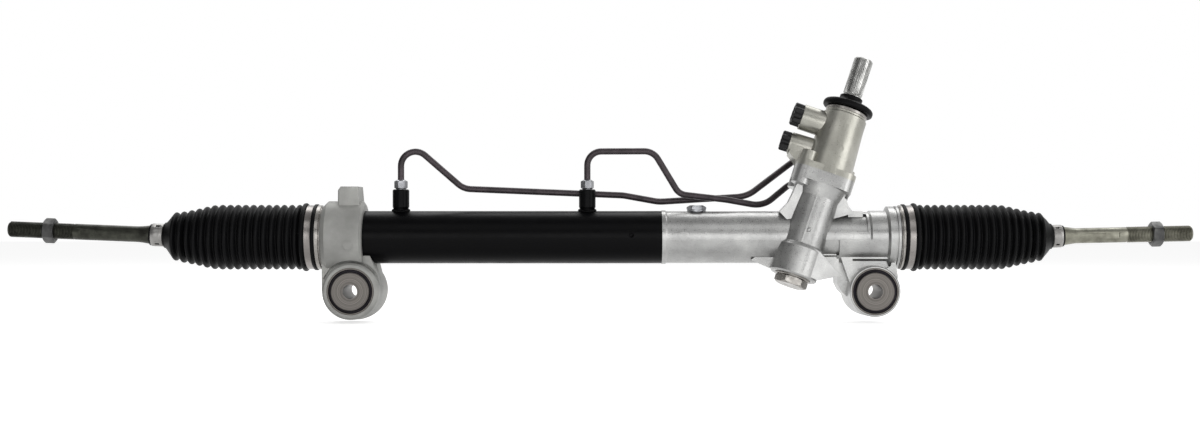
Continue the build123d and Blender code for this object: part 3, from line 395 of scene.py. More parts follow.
def moulded_plastic(name, colour, roughness=0.45):
    # Injection moulded polyamide: even colour, a fine sparked grain
    material, tree, shader, place = start_material(
        name, Base_Color=linear(colour), Metallic=0.0, Roughness=roughness, IOR=1.53,
        Specular_IOR_Level=0.25)
    tree.links.new(spread(tree, noise(tree, place, 6, 3), roughness - 0.06, roughness + 0.08),
                   shader.inputs["Roughness"])
    bump(tree, shader, noise(tree, place, 0.5, 2), 0.04, 0.4)
    return material


finishes = {}


def make_finishes(colours):
    finishes.update({
        "cast_aluminium_housing": cast_aluminium(
            "die_cast_aluminium_bright", colours.housing_dark, colours.housing_middle,
            colours.housing_light, 1.1, 0.30),
        "cast_aluminium_bracket": cast_aluminium(
            "blasted_aluminium", "#7b7b78", colours.bracket_middle, "#a3a39f", 0.8, 0.55, 0.4),
        "valve_aluminium": cast_aluminium("die_cast_aluminium_green_grey", "#84837d", "#999890",
                                          "#b0aea7", 1.2, 0.32),
        "turned_aluminium": plated_steel("turned_aluminium", "#83807c", "#9c9995", 0.26, 6.0, 0.9),
        "black_tube": gloss_enamel("stoved_black_enamel", colours.tube),
        "black_rubber": moulded_rubber("chloroprene_rubber", colours.boot, "#0a0a0b", 0.46),
        "bush_rubber": moulded_rubber("natural_rubber", "#1d1b1e", "#2c2a2f", 0.6),
        "machined_steel": turned_steel("faced_steel", "#4c4946", "#75716d", eye_x),
        "bearing_steel": plated_steel("ground_bearing_steel", "#9a9a98", "#c2c2c0", 0.2),
        "ground_rack_steel": plated_steel("ground_rack_steel", "#8e8e8c", "#b8b8b6", 0.22),
        "hardened_steel": plated_steel("oiled_hardened_steel", "#4c4b49", "#747270", 0.35),
        "zinc_steel": plated_steel("bright_zinc_plate", "#727376", "#909194", 0.32, 14.0),
        "dark_rod_steel": plated_steel("phosphated_steel", "#242420", "#42433c", 0.42, 12.0, 0.85),
        "yellow_zinc_steel": plated_steel("yellow_zinc_plate", "#5f5e54", "#86857a", 0.36, 12.0),
        "nut_steel": plated_steel("dark_zinc_plate", "#353535", "#535352", 0.34, 10.0),
        "line_steel": plated_steel("coated_tube_steel", "#231e20", "#3b3337", 0.38, 14.0, 0.5),
        "stainless_band": plated_steel("stainless_strip", "#6f6b69", "#8f8b88", 0.28, 30.0),
        "spring_clip_steel": plated_steel("pale_zinc_plate", "#7d7b79", "#9a9997", 0.34, 14.0),
        "black_plastic": moulded_plastic("black_polyamide", "#0c0c0d"),
        "nylon": moulded_plastic("natural_polyamide", "#d8d2bd"),
        "seal_polymer": moulded_plastic("black_seal_rubber", "#151515", 0.6),
        "bronze_liner": plated_steel("sintered_bronze", "#6b5633", "#97794a", 0.4),
    })
    slots = {entry["node"]: entry["material_slot"] for entry in frame["record"]["subparts"]}
    for name, node in nodes.items():
        node.data.materials.clear()
        node.data.materials.append(finishes[slots[name]])


# Sizes and colours that a user may change
class RackColours(bpy.types.PropertyGroup):
    """Colours of the main finishes"""
    housing_dark: StringProperty(
        name="Housing shade", description="Darkest grey of the housing", default="#868685")
    housing_middle: StringProperty(
        name="Housing", description="Main grey of the housing", default="#9b9b9a")
    housing_light: StringProperty(
        name="Housing light", description="Lightest grey of the housing", default="#b2b2b0")
    bracket_middle: StringProperty(
        name="Bracket", description="Main grey of the end bracket", default="#8e8e8b")
    tube: StringProperty(name="Tube", description="Enamel of the cylinder tube", default="#040405")
    boot: StringProperty(name="Boot", description="Rubber of the boots", default="#060607")


class BootSizes(bpy.types.PropertyGroup):
    """Sizes of the boots, in mm"""
    folds: IntProperty(
        name="Folds", description="Number of folds of each boot", default=17, min=8, max=30)
    left_length: FloatProperty(
        name="Left length", description="From lip to tail of the left boot", default=173.0)
    right_length: FloatProperty(
        name="Right length", description="From lip to tail of the right boot", default=167.0)
    crest: FloatProperty(name="Crest radius", description="Radius over the full folds", default=32.4)
    depth: FloatProperty(name="Fold depth", description="Depth of a fold", default=4.2)
    wall: FloatProperty(name="Wall", description="Thickness of the rubber", default=1.5)
    tail_shift: FloatProperty(
        name="Tail shift", description="How much nearer the tail is than the CAD's", default=2.2)
    bending_folds: IntProperty(
        name="Bending folds", description="Folds that swing with the rod", default=2, min=1, max=6)


class FittingSizes(bpy.types.PropertyGroup):
    """Sizes of the small fittings, in mm"""
    thread_pitch: FloatProperty(
        name="Thread pitch", description="Pitch of the tie rod threads", default=1.5)
    thread_radius: FloatProperty(
        name="Thread radius", description="Radius over the thread", default=7.9)
    shank_radius: FloatProperty(name="Shank radius", description="Radius of the tie rods", default=7.9)
    nut_across: FloatProperty(name="Jam nut", description="Across the flats of a jam nut", default=22.0)
    nut_length: FloatProperty(name="Jam nut length", description="Length of a jam nut", default=11.0)
    splines: IntProperty(
        name="Splines", description="Number of splines on the input shaft", default=36, min=12, max=60)
    spline_depth: FloatProperty(name="Spline depth", description="Depth of a spline", default=0.7)
    line_nut_across: FloatProperty(
        name="Line nut", description="Across the flats of a line nut", default=11.6)
    plug_across: FloatProperty(
        name="Plug", description="Across the flats of the housing's plug", default=17.0)
    cap_across: FloatProperty(
        name="Cap", description="Across the flats of the pinion's end cap", default=29.5)
    lobes: IntProperty(
        name="Lobes", description="Number of lobes on a port plug", default=10, min=3, max=20)


class StageSizes(bpy.types.PropertyGroup):
    """Camera of the stage"""
    distance: FloatProperty(
        name="Distance", description="From the camera to the rack's axis", default=1.6, unit="LENGTH")
    centre_x: FloatProperty(
        name="Aim across", description="Where the camera aims along X", default=-0.0125, unit="LENGTH")
    centre_z: FloatProperty(
        name="Aim up", description="Height that the camera aims at", default=0.0704, unit="LENGTH")
    width: FloatProperty(
        name="Width", description="Width in view at the rack's axis", default=1.2, unit="LENGTH")


# Boots
def fold_places(sizes, length, last_fold):
    """Distance from the lip and crest radius of each fold, from the housing to the small end"""
    small = [24.2, 25.7, 27.1, 28.7, 30.5, 32.0]
    first = 21.6
    pitch = (length - last_fold - first) / (sizes.folds - 1)
    radii = [sizes.crest] * (sizes.folds - len(small)) + small[::-1]
    return [(first + index * pitch, radius) for index, radius in enumerate(radii)], pitch


def fold_points(places, pitch, depth, first, last):
    """Outline of the folds from the valley before the first to the valley after the last"""
    points = []
    for index in range(first, last + 1):
        place, radius = places[index]
        before = min(radius, places[index - 1][1]) - depth if index else radius - depth
        after = min(radius, places[index + 1][1]) - depth if index + 1 < len(places) else radius - depth
        if index == first:
            points.append((before, place - 0.5 * pitch))
        points += [(before + 0.35, place - 0.41 * pitch), (radius - 1.25, place - 0.23 * pitch),
                   (radius - 0.3, place - 0.12 * pitch), (radius, place),
                   (radius - 0.3, place + 0.12 * pitch), (radius - 1.25, place + 0.23 * pitch),
                   (after + 0.35, place + 0.41 * pitch), (after, place + 0.5 * pitch)]
    return points


def open_tube(points, steps):
    shape = bmesh.new()
    spin_outline(shape, points, steps, closed=False)
    return shape


def add_wall(piece, thickness):
    wall = piece.modifiers.new("rubber wall", "SOLIDIFY")
    wall.thickness = thickness * MM
    wall.offset = -1
    wall.use_even_offset = True
    return piece


def bend_to_rod(shape, ball_distance, angle, start, end):
    """Swings the far end of a boot onto its rod, about the ball, before it is put in place"""
    for vert in shape.verts:
        share = smoothstep((vert.co.z / MM - start) / (end - start))
        pivot = Vector((0, 0, ball_distance * MM))
        vert.co = pivot + Matrix.Rotation(angle * share, 3, "Y") @ (vert.co - pivot)


def make_boot(side, sizes, steps=96):
    label, ball, outward = of_side(side)
    lip = boot_lip(side)
    length = (sizes.left_length if side < 0 else sizes.right_length) - sizes.tail_shift
    last_fold = (28.2 if side < 0 else 26.4) - sizes.tail_shift
    places, pitch = fold_places(sizes, length, last_fold)
    split = sizes.folds - sizes.bending_folds
    body = facing((lip, 0, rack_height), (side, 0, 0))
    tilt = -side * math.atan2(outward.z, abs(outward.x))
    collar = [(28.6, 2.7), (32.4, 2.7), (33.0, 3.2), (33.0, 5.5), (32.4, 6.0), (31.2, 6.1),
              (31.05, 6.6), (31.05, 12.6), (31.3, 13.1), (33.0, 13.2), (34.0, 14.2), (34.1, 15.4),
              (33.7, 16.5), (32.4, 17.4)]
    bellows = open_tube(collar + fold_points(places, pitch, sizes.depth, 0, split - 1), steps)
    piece = add_piece(label + "_boot_bellows", bellows, body, None, "black_rubber", [label + "_boot"],
                      60, True)
    add_wall(piece, sizes.wall)
    start = places[split - 1][0] + 0.5 * pitch
    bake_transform(piece)
    ball_distance = abs(ball.x - lip) / MM
    cone = length - clip_width(side) - 2.6
    points = fold_points(places, pitch, sizes.depth, split, sizes.folds - 1)[:-2]
    points += [(places[-1][1] - 3.4, places[-1][0] + 3.4), (17.5, cone - 5.2), (13.6, cone - 2.0),
               (12.8, cone - 0.8), (12.7, cone + 0.1), (12.0, cone + 0.5), (10.1, cone + 0.7),
               (9.9, cone + 1.1), (9.9, length - 1.9), (10.2, length - 1.7), (10.6, length - 1.5),
               (10.7, length - 0.8), (10.5, length - 0.2), (9.4, length)]
    end = open_tube(points, steps)
    bend_to_rod(end, ball_distance, tilt, start, cone)
    piece = add_piece(label + "_boot_end", end, body, None, "black_rubber", [label + "_boot"], 60, True)
    add_wall(piece, 1.0)
    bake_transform(piece)


def make_seat_ring(side):
    """The turned ring between the casting's face and the lip of its boot"""
    gap = 2.3 if side < 0 else 0.9
    ring = [(27.9, 0.1 - gap), (30.4, 0.1 - gap), (30.4, 0.7 - gap), (31.7, 0.9 - gap),
            (32.1, 1.3 - gap), (32.1, 2.2), (31.8, 2.6), (27.9, 2.6)]
    place = facing((boot_lip(side), 0, rack_height), (side, 0, 0))
    add_turned(of_side(side)[0] + "_boot_seat_ring", ring, place, "housing", "turned_aluminium", (), 96)


def make_boot_clamp(side):
    """A flat stainless strip pulled tight round the boot, with its folded ear at the back"""
    label = of_side(side)[0]
    low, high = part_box(label + "_boot_clamp")
    place = facing(((low.x + high.x) / 2, 0, rack_height), (side, 0, 0))
    half = (high.x - low.x) / 2 / MM
    shape = bmesh.new()
    spin_outline(shape, [(31.1, -half + 0.2), (31.3, -half), (31.85, -half), (32.0, -half + 0.3),
                         (31.9, -half + 0.9), (31.9, half - 0.9), (32.0, half - 0.3), (31.85, half),
                         (31.3, half), (31.1, half - 0.2)], 120)
    ear = 90 + side * 20
    for turn, out, size in ((-2.8, 33.2, (2.4, 1.6, 4.4)), (2.8, 33.2, (2.4, 1.6, 4.4)),
                            (0, 34.2, (1.0, 5.8, 4.4))):
        add_block(shape, size, along(0, ear + turn, out), 0.35)
    add_piece(label + "_boot_band", shape, place, "housing", "stainless_band", [label + "_boot_clamp"])


def make_boot_clip(side, sizes):
    """A sprung clip on the boot's tail, pierced by two windows where its ends lap"""
    label, ball, outward = of_side(side)
    end = boot_tail(side, sizes.tail_shift) - 1.7
    width = clip_width(side) - 0.2
    start = end - width
    place = facing(ball, outward)
    shape = bmesh.new()
    steps = 90
    spin_outline(shape, [(11.0, start), (11.35, start + 0.5), (11.35, start + 0.28 * width),
                         (11.35, start + 0.62 * width), (11.35, end - 0.5), (11.0, end)], steps,
                         closed=False)
    holes = []
    for face in shape.faces:
        centre = face.calc_center_median()
        angle = math.degrees(math.atan2(centre.y, centre.x)) % 360
        share = (centre.z / MM - start) / width
        in_window = any(abs((angle - window + 180) % 360 - 180) < 6.5 for window in clip_windows(side))
        if 0.28 < share < 0.62 and in_window:
            holes.append(face)
    bmesh.ops.delete(shape, geom=holes, context="FACES")
    add_block(shape, (2.0, 6.6, 5.4), along(start + width / 2, 110, 12.2), 0.5)
    piece = add_piece(label + "_spring_clip", shape, place, label + "_rod", "spring_clip_steel",
                      [label + "_boot_clip"], 50, True)
    sheet = piece.modifiers.new("sheet", "SOLIDIFY")
    sheet.thickness = 0.9 * MM
    sheet.offset = -1


def clip_width(side):
    return 12.2 if side < 0 else 9.8


def boot_tail(side, shift):
    """Distance from the ball to the end of the boot's tail, in mm"""
    label, ball, outward = of_side(side)
    low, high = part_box(label + "_boot_clip")
    outer_end = abs((low.x if side < 0 else high.x) - ball.x) - 11.4 * MM * outward.z
    return outer_end / abs(outward.x) / MM + 2.5 - shift


def clip_windows(side):
    # Angles about the rod of the two windows, one above and one below the front
    return (-36, -142) if side < 0 else (-43, -137)


# Tie rods
def thread_shell(sizes, start, end):
    """One thread from a single turned outline that rises by its pitch each turn, cut square at both ends"""
    shape = bmesh.new()
    pitch = sizes.thread_pitch
    crest = sizes.thread_radius
    root = crest - 0.61 * pitch
    outline = [(root, 0), (root, 0.14 * pitch), (crest, 0.46 * pitch), (crest, 0.62 * pitch),
               (root, 0.94 * pitch), (root, pitch)]
    turns = int((end - start) / pitch) + 3
    first = [(radius, start - pitch + height) for radius, height in outline]
    spin_outline(shape, first, 36, closed=False, travel=pitch, turns=turns)
    for height, up in ((start, -1), (end, 1)):
        everything = shape.verts[:] + shape.edges[:] + shape.faces[:]
        bmesh.ops.bisect_plane(shape, geom=everything, dist=1e-6, plane_co=(0, 0, height * MM),
                               plane_no=(0, 0, up), clear_outer=True)
        rim = [edge for edge in shape.edges if edge.is_boundary
               and all(abs(vert.co.z / MM - height) < 0.01 for vert in edge.verts)]
        bmesh.ops.triangle_fill(shape, edges=rim, use_beauty=True, use_dissolve=False)
    for vert in shape.verts:
        allowed = (crest - 1.6 + (end - vert.co.z / MM)) * MM
        reach = vert.co.xy.length
        if reach > allowed:
            vert.co.xy *= allowed / reach
    return shape


def make_tie_rod(side, sizes, tail_shift):
    label, ball, outward = of_side(side)
    slot = "dark_rod_steel" if side < 0 else "yellow_zinc_steel"
    low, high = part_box(label + "_tie_rod")
    length = abs(((low.x if side < 0 else high.x) - ball.x) / outward.x) / MM - 0.35
    thread_start = length - 63.4
    shape = bmesh.new()
    ball_radius = 11.0
    arc = [(ball_radius * math.sin(math.radians(angle)), -ball_radius * math.cos(math.radians(angle)))
           for angle in range(0, 146, 12)]
    shank = sizes.shank_radius if side < 0 else sizes.shank_radius - 0.3
    root = sizes.thread_radius - 0.8
    tail = boot_tail(side, tail_shift)
    outline = arc + [(6.3, 9.3), (6.3, 26), (6.6, 28.5), (7.8, 32.5), (8.1, 34), (8.1, tail - 1.4),
                     (9.3, tail - 1.0), (9.3, tail + 0.6), (8.9, tail + 3.0), (8.3, tail + 7.5),
                     (shank, tail + 12.5), (shank, thread_start - 2.4),
                     (shank - 0.2, thread_start - 2.0), (root, thread_start - 0.6),
                     (root - 0.1, thread_start), (root - 0.3, thread_start + 2), (0, thread_start + 2)]
    spin_outline(shape, [(max(radius, 0.0), height) for radius, height in outline], 64)
    for turn in (90, 270):
        cut_flat(shape, turn, shank - 0.9, thread_start - 24, thread_start - 10)
    join(shape, thread_shell(sizes, thread_start - 0.8, length))
    add_piece(label + "_threaded_rod", shape, facing(ball, outward), label + "_rod", slot,
              [label + "_tie_rod"], 40)


def make_jam_nut(side, sizes):
    label, ball, outward = of_side(side)
    low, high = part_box(label + "_jam_nut")
    inward = 0.0 if side < 0 else 1.6
    middle = abs(((low.x + high.x) / 2 - ball.x) / outward.x) / MM - inward
    shape = bmesh.new()
    add_hexagon(shape, sizes.nut_across, sizes.thread_radius + 0.05, middle - sizes.nut_length / 2,
                middle + sizes.nut_length / 2)
    add_piece(label + "_chamfered_jam_nut", shape, facing(ball, outward), label + "_nut", "nut_steel",
              [label + "_jam_nut"], 30)


def cut_flat(shape, turn, depth, start, end):
    """Presses a spanner flat into a turned bar between two distances"""
    out = Vector((math.cos(math.radians(turn)), math.sin(math.radians(turn)), 0))
    for height in (start, start + 0.5, end - 0.5, end):
        everything = shape.verts[:] + shape.edges[:] + shape.faces[:]
        bmesh.ops.bisect_plane(shape, geom=everything, dist=1e-7, plane_co=(0, 0, height * MM),
                               plane_no=(0, 0, 1))
    for vert in shape.verts:
        height = vert.co.z / MM
        if start + 0.4 < height < end - 0.4:
            reach = vert.co.xy.to_3d().dot(out)
            if reach > depth * MM:
                vert.co -= out * (reach - depth * MM)


# Input shaft
def make_input_shaft(sizes):
    top = 188.5
    neck_top = 148.5
    shape = bmesh.new()
    spin_outline(shape, [(4.5, 37.5), (7.2, 37.5), (7.2, 65.9), (10.0, 66.4), (10.0, neck_top - 0.4),
                         (9.6, neck_top), (8.6, neck_top + 1.2), (8.6, neck_top + 3),
                         (4.5, neck_top + 3)], 72)
    teeth = bmesh.ops.create_circle(shape, cap_ends=False, radius=1.0,
                                    segments=sizes.splines * 6)["verts"]
    for index, vert in enumerate(teeth):
        on_crest = index % 6 in (0, 1, 2)
        radius = 9.6 if on_crest else 9.6 - sizes.spline_depth
        vert.co = vert.co.normalized() * radius * MM
        vert.co.z = (neck_top + 1.2) * MM
    raise_rings(shape, teeth, [(0.0, neck_top + 2.4), (0.0, top - 1.2), (-1.1, top), (-4.0, top - 0.2)])
    for vert in teeth:
        vert.co.xy *= min(1.0, 8.6 * MM / vert.co.xy.length)
    add_piece("splined_input_shaft", shape, tower_place, "input", "ground_rack_steel", ["input_shaft"],
              30)


# Port plugs
def make_port_plug(node, sizes):
    """A moulded shipping plug: a lobed head with a sunk middle, on a plain stem"""
    if node == "pressure_port_plug":
        height, turn, boss, base = 112.2, 0, 13.0, 42.1
    else:
        height, turn, boss, base = 84.4, 8, 11.4, 44.6
    place = (tower_place @ Matrix.Translation((0, 0, height * MM))
             @ Matrix.Rotation(math.radians(-turn), 4, "Z") @ Matrix.Rotation(math.radians(-90), 4, "Y"))
    shape = bmesh.new()
    head = 8.9
    verts = bmesh.ops.create_circle(shape, cap_ends=True, radius=1.0,
                                    segments=sizes.lobes * 12)["verts"]
    for vert in verts:
        wave = 0.5 + 0.5 * math.cos(math.atan2(vert.co.y, vert.co.x) * sizes.lobes)
        vert.co = vert.co.normalized() * (boss - 2.8 + 1.75 * wave ** 0.7) * MM
        vert.co.z = base * MM
    rings = [(0.0, base + head - 1.2), (-0.35, base + head - 0.45), (-0.65, base + head),
             (-2.2, base + head), (-0.6, base + head - 0.5), (-0.3, base + head - 2.6)]
    verts, edges = raise_rings(shape, verts, rings)
    bmesh.ops.contextual_create(shape, geom=edges)
    spin_outline(shape, [(0.0, base - 9), (boss - 4.6, base - 9), (boss - 4.2, base - 8.4),
                         (boss - 4.2, base + 1), (0.0, base + 1)], 48)
    add_piece("lobed_" + node, shape, place, "housing", "black_plastic", [node], 40)


# Dust cover and bush rubbers
def make_dust_cover():
    points = [(10.6, 129.0), (18.6, 128.8), (18.9, 132.1), (20.4, 132.6), (22.8, 132.4), (24.4, 132.7),
              (25.2, 133.5), (25.4, 134.6), (25.4, 136.0), (25.1, 137.2), (24.2, 138.3), (22.6, 139.1),
              (19.4, 139.8), (16.2, 140.5), (13.9, 141.2), (12.5, 142.3), (11.7, 143.8), (11.4, 145.2),
              (11.6, 146.2), (11.5, 147.0), (11.0, 147.4), (10.5, 147.1), (10.4, 146.2), (10.6, 142.0)]
    add_turned("rubber_dust_cap", points, tower_place, "housing", "black_rubber", ["dust_cover"], 96,
               50)
    ring = [(18.7, 128.5), (20.5, 128.5), (20.9, 128.9), (20.9, 131.3), (20.4, 131.8), (18.7, 131.8)]
    add_turned("dust_cap_seat_ring", ring, tower_place, "housing", "turned_aluminium", (), 96)


def make_bush_rubbers():
    """The two rubber sleeves, whose ends stand as a rounded ring between the shell and the core's face"""
    shape = bmesh.new()
    half = 26.9
    for x in (-eye_x, eye_x):
        ring = bmesh.new()
        spin_outline(ring, [(11.1, -half + 4), (14.0, -half + 1.4), (19.0, -half + 0.6), (20.2, -half),
                            (21.2, -half + 0.3), (21.8, -half + 1.2), (21.8, half - 1.2),
                            (21.2, half - 0.3), (20.2, half), (19.0, half - 0.6), (14.0, half - 1.4),
                            (11.1, half - 4)], 72)
        bmesh.ops.transform(ring, matrix=facing((x, 0, 0), (0, -1, 0), (0, 0, 1)), verts=ring.verts)
        join(shape, ring)
    add_piece("bush_rubber_sleeves", shape, Matrix.Identity(4), "housing", "bush_rubber",
              ["bush_rubbers"], 50)


# Nuts of the lines and the housing's plug
def make_line_nuts(sizes):
    """The two nuts of the lines at the cylinder, each a chamfered hexagon on a plain stem"""
    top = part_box("cylinder_line_nuts")[1].z / MM
    shape = bmesh.new()
    for x in port_places():
        nut = bmesh.new()
        add_hexagon(nut, sizes.line_nut_across, 3.5, top - 9.5, top, 1.3)
        spin_outline(nut, [(3.5, top - 16), (5.0, top - 16), (5.0, top - 8.9), (3.5, top - 8.9)], 48)
        bmesh.ops.rotate(nut, verts=nut.verts, cent=(0, 0, 0),
                         matrix=Matrix.Rotation(math.radians(12), 3, "Z"))
        bmesh.ops.translate(nut, verts=nut.verts, vec=(x, 0, 0))
        join(shape, nut)
    add_piece("chamfered_line_nuts", shape, Matrix.Identity(4), "housing", "zinc_steel",
              ["cylinder_line_nuts"], 30)


def make_housing_plug(sizes):
    """The plug on top of the housing: a chamfered hexagon on a round flange, on a plain stem"""
    low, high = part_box("housing_plug")
    top = (high.z - low.z) / MM
    shape = bmesh.new()
    add_hexagon(shape, sizes.plug_across, 0, top - 6.0, top, 1.6)
    spin_outline(shape, [(0, 0), (5.4, 0), (5.9, 0.6), (5.9, top - 5.9), (9.4, top - 5.9),
                         (9.4, top - 4.6), (0, top - 4.4)],
                 64)
    place = Matrix.Translation(((low.x + high.x) / 2, 0, low.z))
    add_piece("chamfered_housing_plug", shape, place, "housing", "zinc_steel", ["housing_plug"], 30)


def make_pinion_cap(sizes):
    """The cap under the tower: a chamfered hexagon on a thin round flange, on a plain stem"""
    boss_end = -44.2
    shape = bmesh.new()
    add_hexagon(shape, sizes.cap_across, 0, boss_end - 9.2, boss_end - 1.0, 1.2)
    spin_outline(shape, [(0, boss_end - 1.4), (17.6, boss_end - 1.4), (18.2, boss_end - 0.9),
                         (18.2, boss_end - 0.05), (16.9, boss_end - 0.05), (16.9, boss_end + 6),
                         (0, boss_end + 6)], 72)
    add_piece("chamfered_pinion_cap", shape, tower_place, "housing", "turned_aluminium",
              ["pinion_end_cap"], 30)


# Welds
def make_weld_beads():
    """The fillet welds that hold the two port bosses to the tube: a saddle of small overlapping ripples"""
    shape = bmesh.new()
    tube_radius = 26.2
    boss_radius = 7.6
    for x in port_places():
        ring = []
        count = 44
        for index in range(count):
            angle = math.tau * index / count
            out = Vector((math.cos(angle), math.sin(angle), 0)) * boss_radius
            height = math.sqrt(tube_radius ** 2 - out.y ** 2)
            ring.append(Vector((x, 0, rack_height)) + (out + Vector((0, 0, height + 0.5))) * MM)
        for index, point in enumerate(ring):
            ahead = ring[(index + 1) % count] - ring[index - 1]
            made = bmesh.ops.create_uvsphere(shape, u_segments=8, v_segments=6, radius=1.0)["verts"]
            place = facing(point, ahead, (0, 0, 1))
            ripple = 1.0 + 0.08 * math.sin(index * 2.4)
            size = Matrix.Diagonal((1.7 * MM * ripple, 1.7 * MM, 1.0 * MM, 1))
            bmesh.ops.transform(shape, matrix=place @ size, verts=made)
    add_piece("port_weld_beads", shape, Matrix.Identity(4), "housing", "black_tube", (), 80)


def port_places():
    """Where the two ports of the cylinder stand along X"""
    low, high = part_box("cylinder_line_nuts")
    nut_half = 6.7 * MM
    return (low.x + nut_half, high.x - nut_half)


# Stage
def make_stage(sizes):
    scene = bpy.context.scene
    camera = bpy.data.cameras.new("camera")
    camera.sensor_width = 36
    camera.lens = 36 * sizes.distance / sizes.width
    holder = bpy.data.objects.new("camera", camera)
    holder.location = (sizes.centre_x, -sizes.distance, sizes.centre_z)
    holder.rotation_euler = (math.radians(90), 0, 0)
    scene.collection.objects.link(holder)
    scene.camera = holder
    # Name, place and size in metres, and power in watts
    lamps = (("behind", (0.1, 0.75, 1.25), (2.4, 0.7), 14),
             ("front", (0.1, -2.3, 0.34), (2.6, 0.9), 19), ("high", (0.1, -1.3, 1.45), (2.4, 0.9), 8),
             ("right", (1.7, -1.1, 0.5), (1.0, 1.4), 13))
    for name, place, size, power in lamps:
        lamp = bpy.data.lights.new(name, "AREA")
        lamp.shape = "RECTANGLE"
        lamp.size, lamp.size_y = size
        lamp.energy = power
        lamp_holder = bpy.data.objects.new(name, lamp)
        lamp_holder.location = place
        aim = Vector((0, 0, rack_height)) - Vector(place)
        lamp_holder.rotation_euler = aim.to_track_quat("-Z", "Y").to_euler()
        scene.collection.objects.link(lamp_holder)
    floor_mesh = bpy.data.meshes.new("floor")
    shape = bmesh.new()
    bmesh.ops.create_grid(shape, x_segments=1, y_segments=1, size=6)
    bmesh.ops.translate(shape, verts=shape.verts, vec=(0, 0, cad_box[0].z - 0.002))
    shape.to_mesh(floor_mesh)
    shape.free()
    floor = bpy.data.objects.new("floor", floor_mesh)
    scene.collection.objects.link(floor)
    floor_mesh.materials.append(white_floor())
    # The world is white to the camera. It mirrors brighter at the right and behind, and fills evenly
    fill_level = 0.42
    world = bpy.data.worlds.new("studio")
    world.use_nodes = True
    scene.world = world
    tree = world.node_tree
    way = add_node(tree, "ShaderNodeTexCoord").outputs["Generated"]
    bright_side = add_node(tree, "ShaderNodeVectorMath", {"operation": "DOT_PRODUCT",
                                                          1: (0.5, 0.8, 0.0)}, {0: way})
    mirrored = spread(tree, bright_side.outputs["Value"], 0.22, 1.0, -0.4, 0.6)
    path = add_node(tree, "ShaderNodeLightPath")
    shown = add_node(tree, "ShaderNodeMath", {"operation": "MAXIMUM"},
                     {0: path.outputs["Is Camera Ray"], 1: mirrored})
    level = add_node(tree, "ShaderNodeMix", {"data_type": "FLOAT", 2: fill_level}, {
        0: seen_directly(tree), 3: shown.outputs[0]}).outputs[0]
    background = tree.nodes["Background"]
    background.inputs["Color"].default_value = (1, 1, 1, 1)
    tree.links.new(level, background.inputs["Strength"])
    scene.view_settings.view_transform = "Standard"


def seen_directly(tree):
    """One for rays from the camera, mirrored rays and rays through glass, and nothing for the others"""
    path = add_node(tree, "ShaderNodeLightPath")
    mirrored = add_node(tree, "ShaderNodeMath", {"operation": "MAXIMUM"}, {
        0: path.outputs["Is Glossy Ray"], 1: path.outputs["Is Transmission Ray"]})
    return add_node(tree, "ShaderNodeMath", {"operation": "MAXIMUM"}, {
        0: path.outputs["Is Camera Ray"], 1: mirrored.outputs[0]}).outputs[0]


def white_floor():
    # White paper sweep: flat and even, it takes the soft shadow of the rack
    material = bpy.data.materials.new("white_paper")
    material.use_nodes = True
    tree = material.node_tree
    tree.nodes.remove(tree.nodes["Principled BSDF"])
    paper = add_node(tree, "ShaderNodeBsdfDiffuse", {"Color": (0.8, 0.8, 0.8, 1)})
    glow = add_node(tree, "ShaderNodeEmission", {"Color": (1, 1, 1, 1)}, {
        "Strength": spread(tree, seen_directly(tree), 0.0, 0.6, 0.0, 1.0)})
    both = add_node(tree, "ShaderNodeAddShader", links={0: paper.outputs[0], 1: glow.outputs[0]})
    tree.links.new(both.outputs[0], tree.nodes["Material Output"].inputs["Surface"])
    return material


# Operators
class RACK_OT_finishes(bpy.types.Operator):
    """Gives every carried-over piece its finish"""
    bl_idname = "rack.finishes"
    bl_label = "Finish the pieces"

    def execute(self, context):
        make_finishes(context.scene.rack_colours)
        return {"FINISHED"}


class RACK_OT_boots(bpy.types.Operator):
    """Adds the two folded boots, with their far ends bent onto the tie rods, and their seat rings"""
    bl_idname = "rack.boots"
    bl_label = "Add boots"

    def execute(self, context):
        for side in (-1, 1):
            make_boot(side, context.scene.boot_sizes)
            make_seat_ring(side)
        return {"FINISHED"}


class RACK_OT_boot_clamps(bpy.types.Operator):
    """Adds the stainless bands and the sprung clips that hold the boots"""
    bl_idname = "rack.boot_clamps"
    bl_label = "Add boot clamps"

    def execute(self, context):
        for side in (-1, 1):
            make_boot_clamp(side)
            make_boot_clip(side, context.scene.boot_sizes)
        return {"FINISHED"}


class RACK_OT_tie_rods(bpy.types.Operator):
    """Adds the tie rods with their cut threads and spanner flats, and their jam nuts"""
    bl_idname = "rack.tie_rods"
    bl_label = "Add tie rods"

    def execute(self, context):
        for side in (-1, 1):
            make_tie_rod(side, context.scene.fitting_sizes, context.scene.boot_sizes.tail_shift)
            make_jam_nut(side, context.scene.fitting_sizes)
        return {"FINISHED"}


class RACK_OT_input_shaft(bpy.types.Operator):
    """Adds the splined input shaft"""
    bl_idname = "rack.input_shaft"
    bl_label = "Add input shaft"

    def execute(self, context):
        make_input_shaft(context.scene.fitting_sizes)
        return {"FINISHED"}


class RACK_OT_port_plugs(bpy.types.Operator):
    """Adds the lobed shipping plugs of the two hose ports"""
    bl_idname = "rack.port_plugs"
    bl_label = "Add port plugs"

    def execute(self, context):
        for node in ("pressure_port_plug", "return_port_plug"):
            make_port_plug(node, context.scene.fitting_sizes)
        return {"FINISHED"}


class RACK_OT_line_nuts(bpy.types.Operator):
    """Adds the chamfered nuts of the lines at the cylinder, the housing's plug and the pinion's end cap"""
    bl_idname = "rack.line_nuts"
    bl_label = "Add line nuts, plug and cap"

    def execute(self, context):
        make_line_nuts(context.scene.fitting_sizes)
        make_housing_plug(context.scene.fitting_sizes)
        make_pinion_cap(context.scene.fitting_sizes)
        return {"FINISHED"}


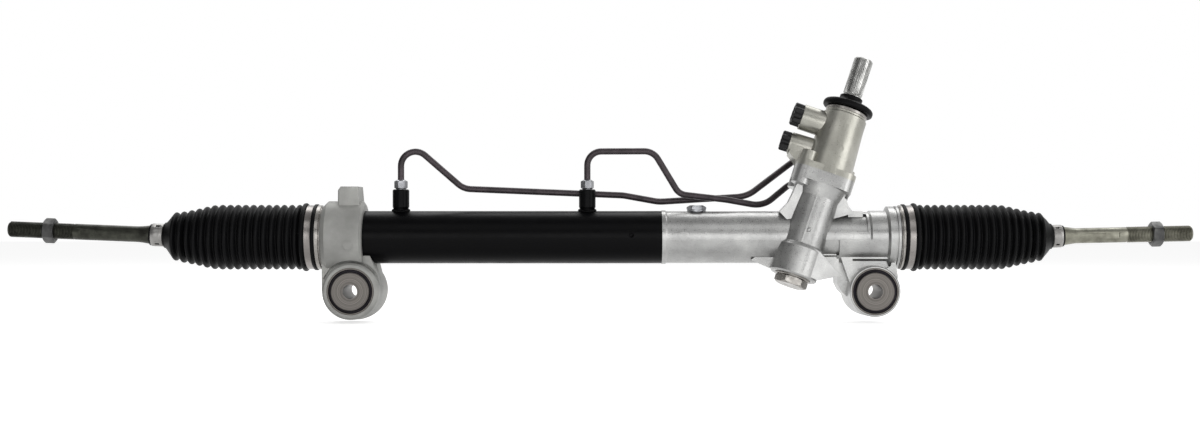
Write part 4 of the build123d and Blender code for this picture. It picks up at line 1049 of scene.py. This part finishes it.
class RACK_OT_rubbers(bpy.types.Operator):
    """Adds the dust cap of the tower and the rubber sleeves of the mounting bushes"""
    bl_idname = "rack.rubbers"
    bl_label = "Add rubbers"

    def execute(self, context):
        make_dust_cover()
        make_bush_rubbers()
        return {"FINISHED"}


class RACK_OT_marks(bpy.types.Operator):
    """Adds the weld beads round the port bosses"""
    bl_idname = "rack.marks"
    bl_label = "Add weld beads"

    def execute(self, context):
        make_weld_beads()
        return {"FINISHED"}


class RACK_OT_stage(bpy.types.Operator):
    """Adds the camera, the lamps, the floor and the world"""
    bl_idname = "rack.stage"
    bl_label = "Set the stage"

    def execute(self, context):
        make_stage(context.scene.stage_sizes)
        return {"FINISHED"}


class RACK_PT_panel(bpy.types.Panel):
    """Lists the steps that dress the rack, with their sizes and colours"""
    bl_label = "Steering rack"
    bl_idname = "RACK_PT_panel"
    bl_space_type = "VIEW_3D"
    bl_region_type = "UI"
    bl_category = "Steering rack"

    def draw(self, context):
        for operator in operators:
            self.layout.operator(operator.bl_idname)
        for name in groups:
            box = self.layout.box()
            settings = getattr(context.scene, name)
            for key in settings.__annotations__:
                box.prop(settings, key)


operators = (RACK_OT_finishes, RACK_OT_boots, RACK_OT_boot_clamps, RACK_OT_tie_rods,
             RACK_OT_input_shaft, RACK_OT_port_plugs, RACK_OT_line_nuts, RACK_OT_rubbers, RACK_OT_marks,
             RACK_OT_stage)
groups = {"rack_colours": RackColours, "boot_sizes": BootSizes, "fitting_sizes": FittingSizes,
          "stage_sizes": StageSizes}


def register():
    for item in (*groups.values(), *operators, RACK_PT_panel):
        bpy.utils.register_class(item)
    for name, group in groups.items():
        setattr(bpy.types.Scene, name, PointerProperty(type=group))


def unregister():
    for name in groups:
        delattr(bpy.types.Scene, name)
    for item in (RACK_PT_panel, *reversed(operators), *reversed(groups.values())):
        bpy.utils.unregister_class(item)


def main():
    register()
    for operator in operators:
        family, name = operator.bl_idname.split(".")
        getattr(getattr(bpy.ops, family), name)()


if __name__ == "__main__":
    main()
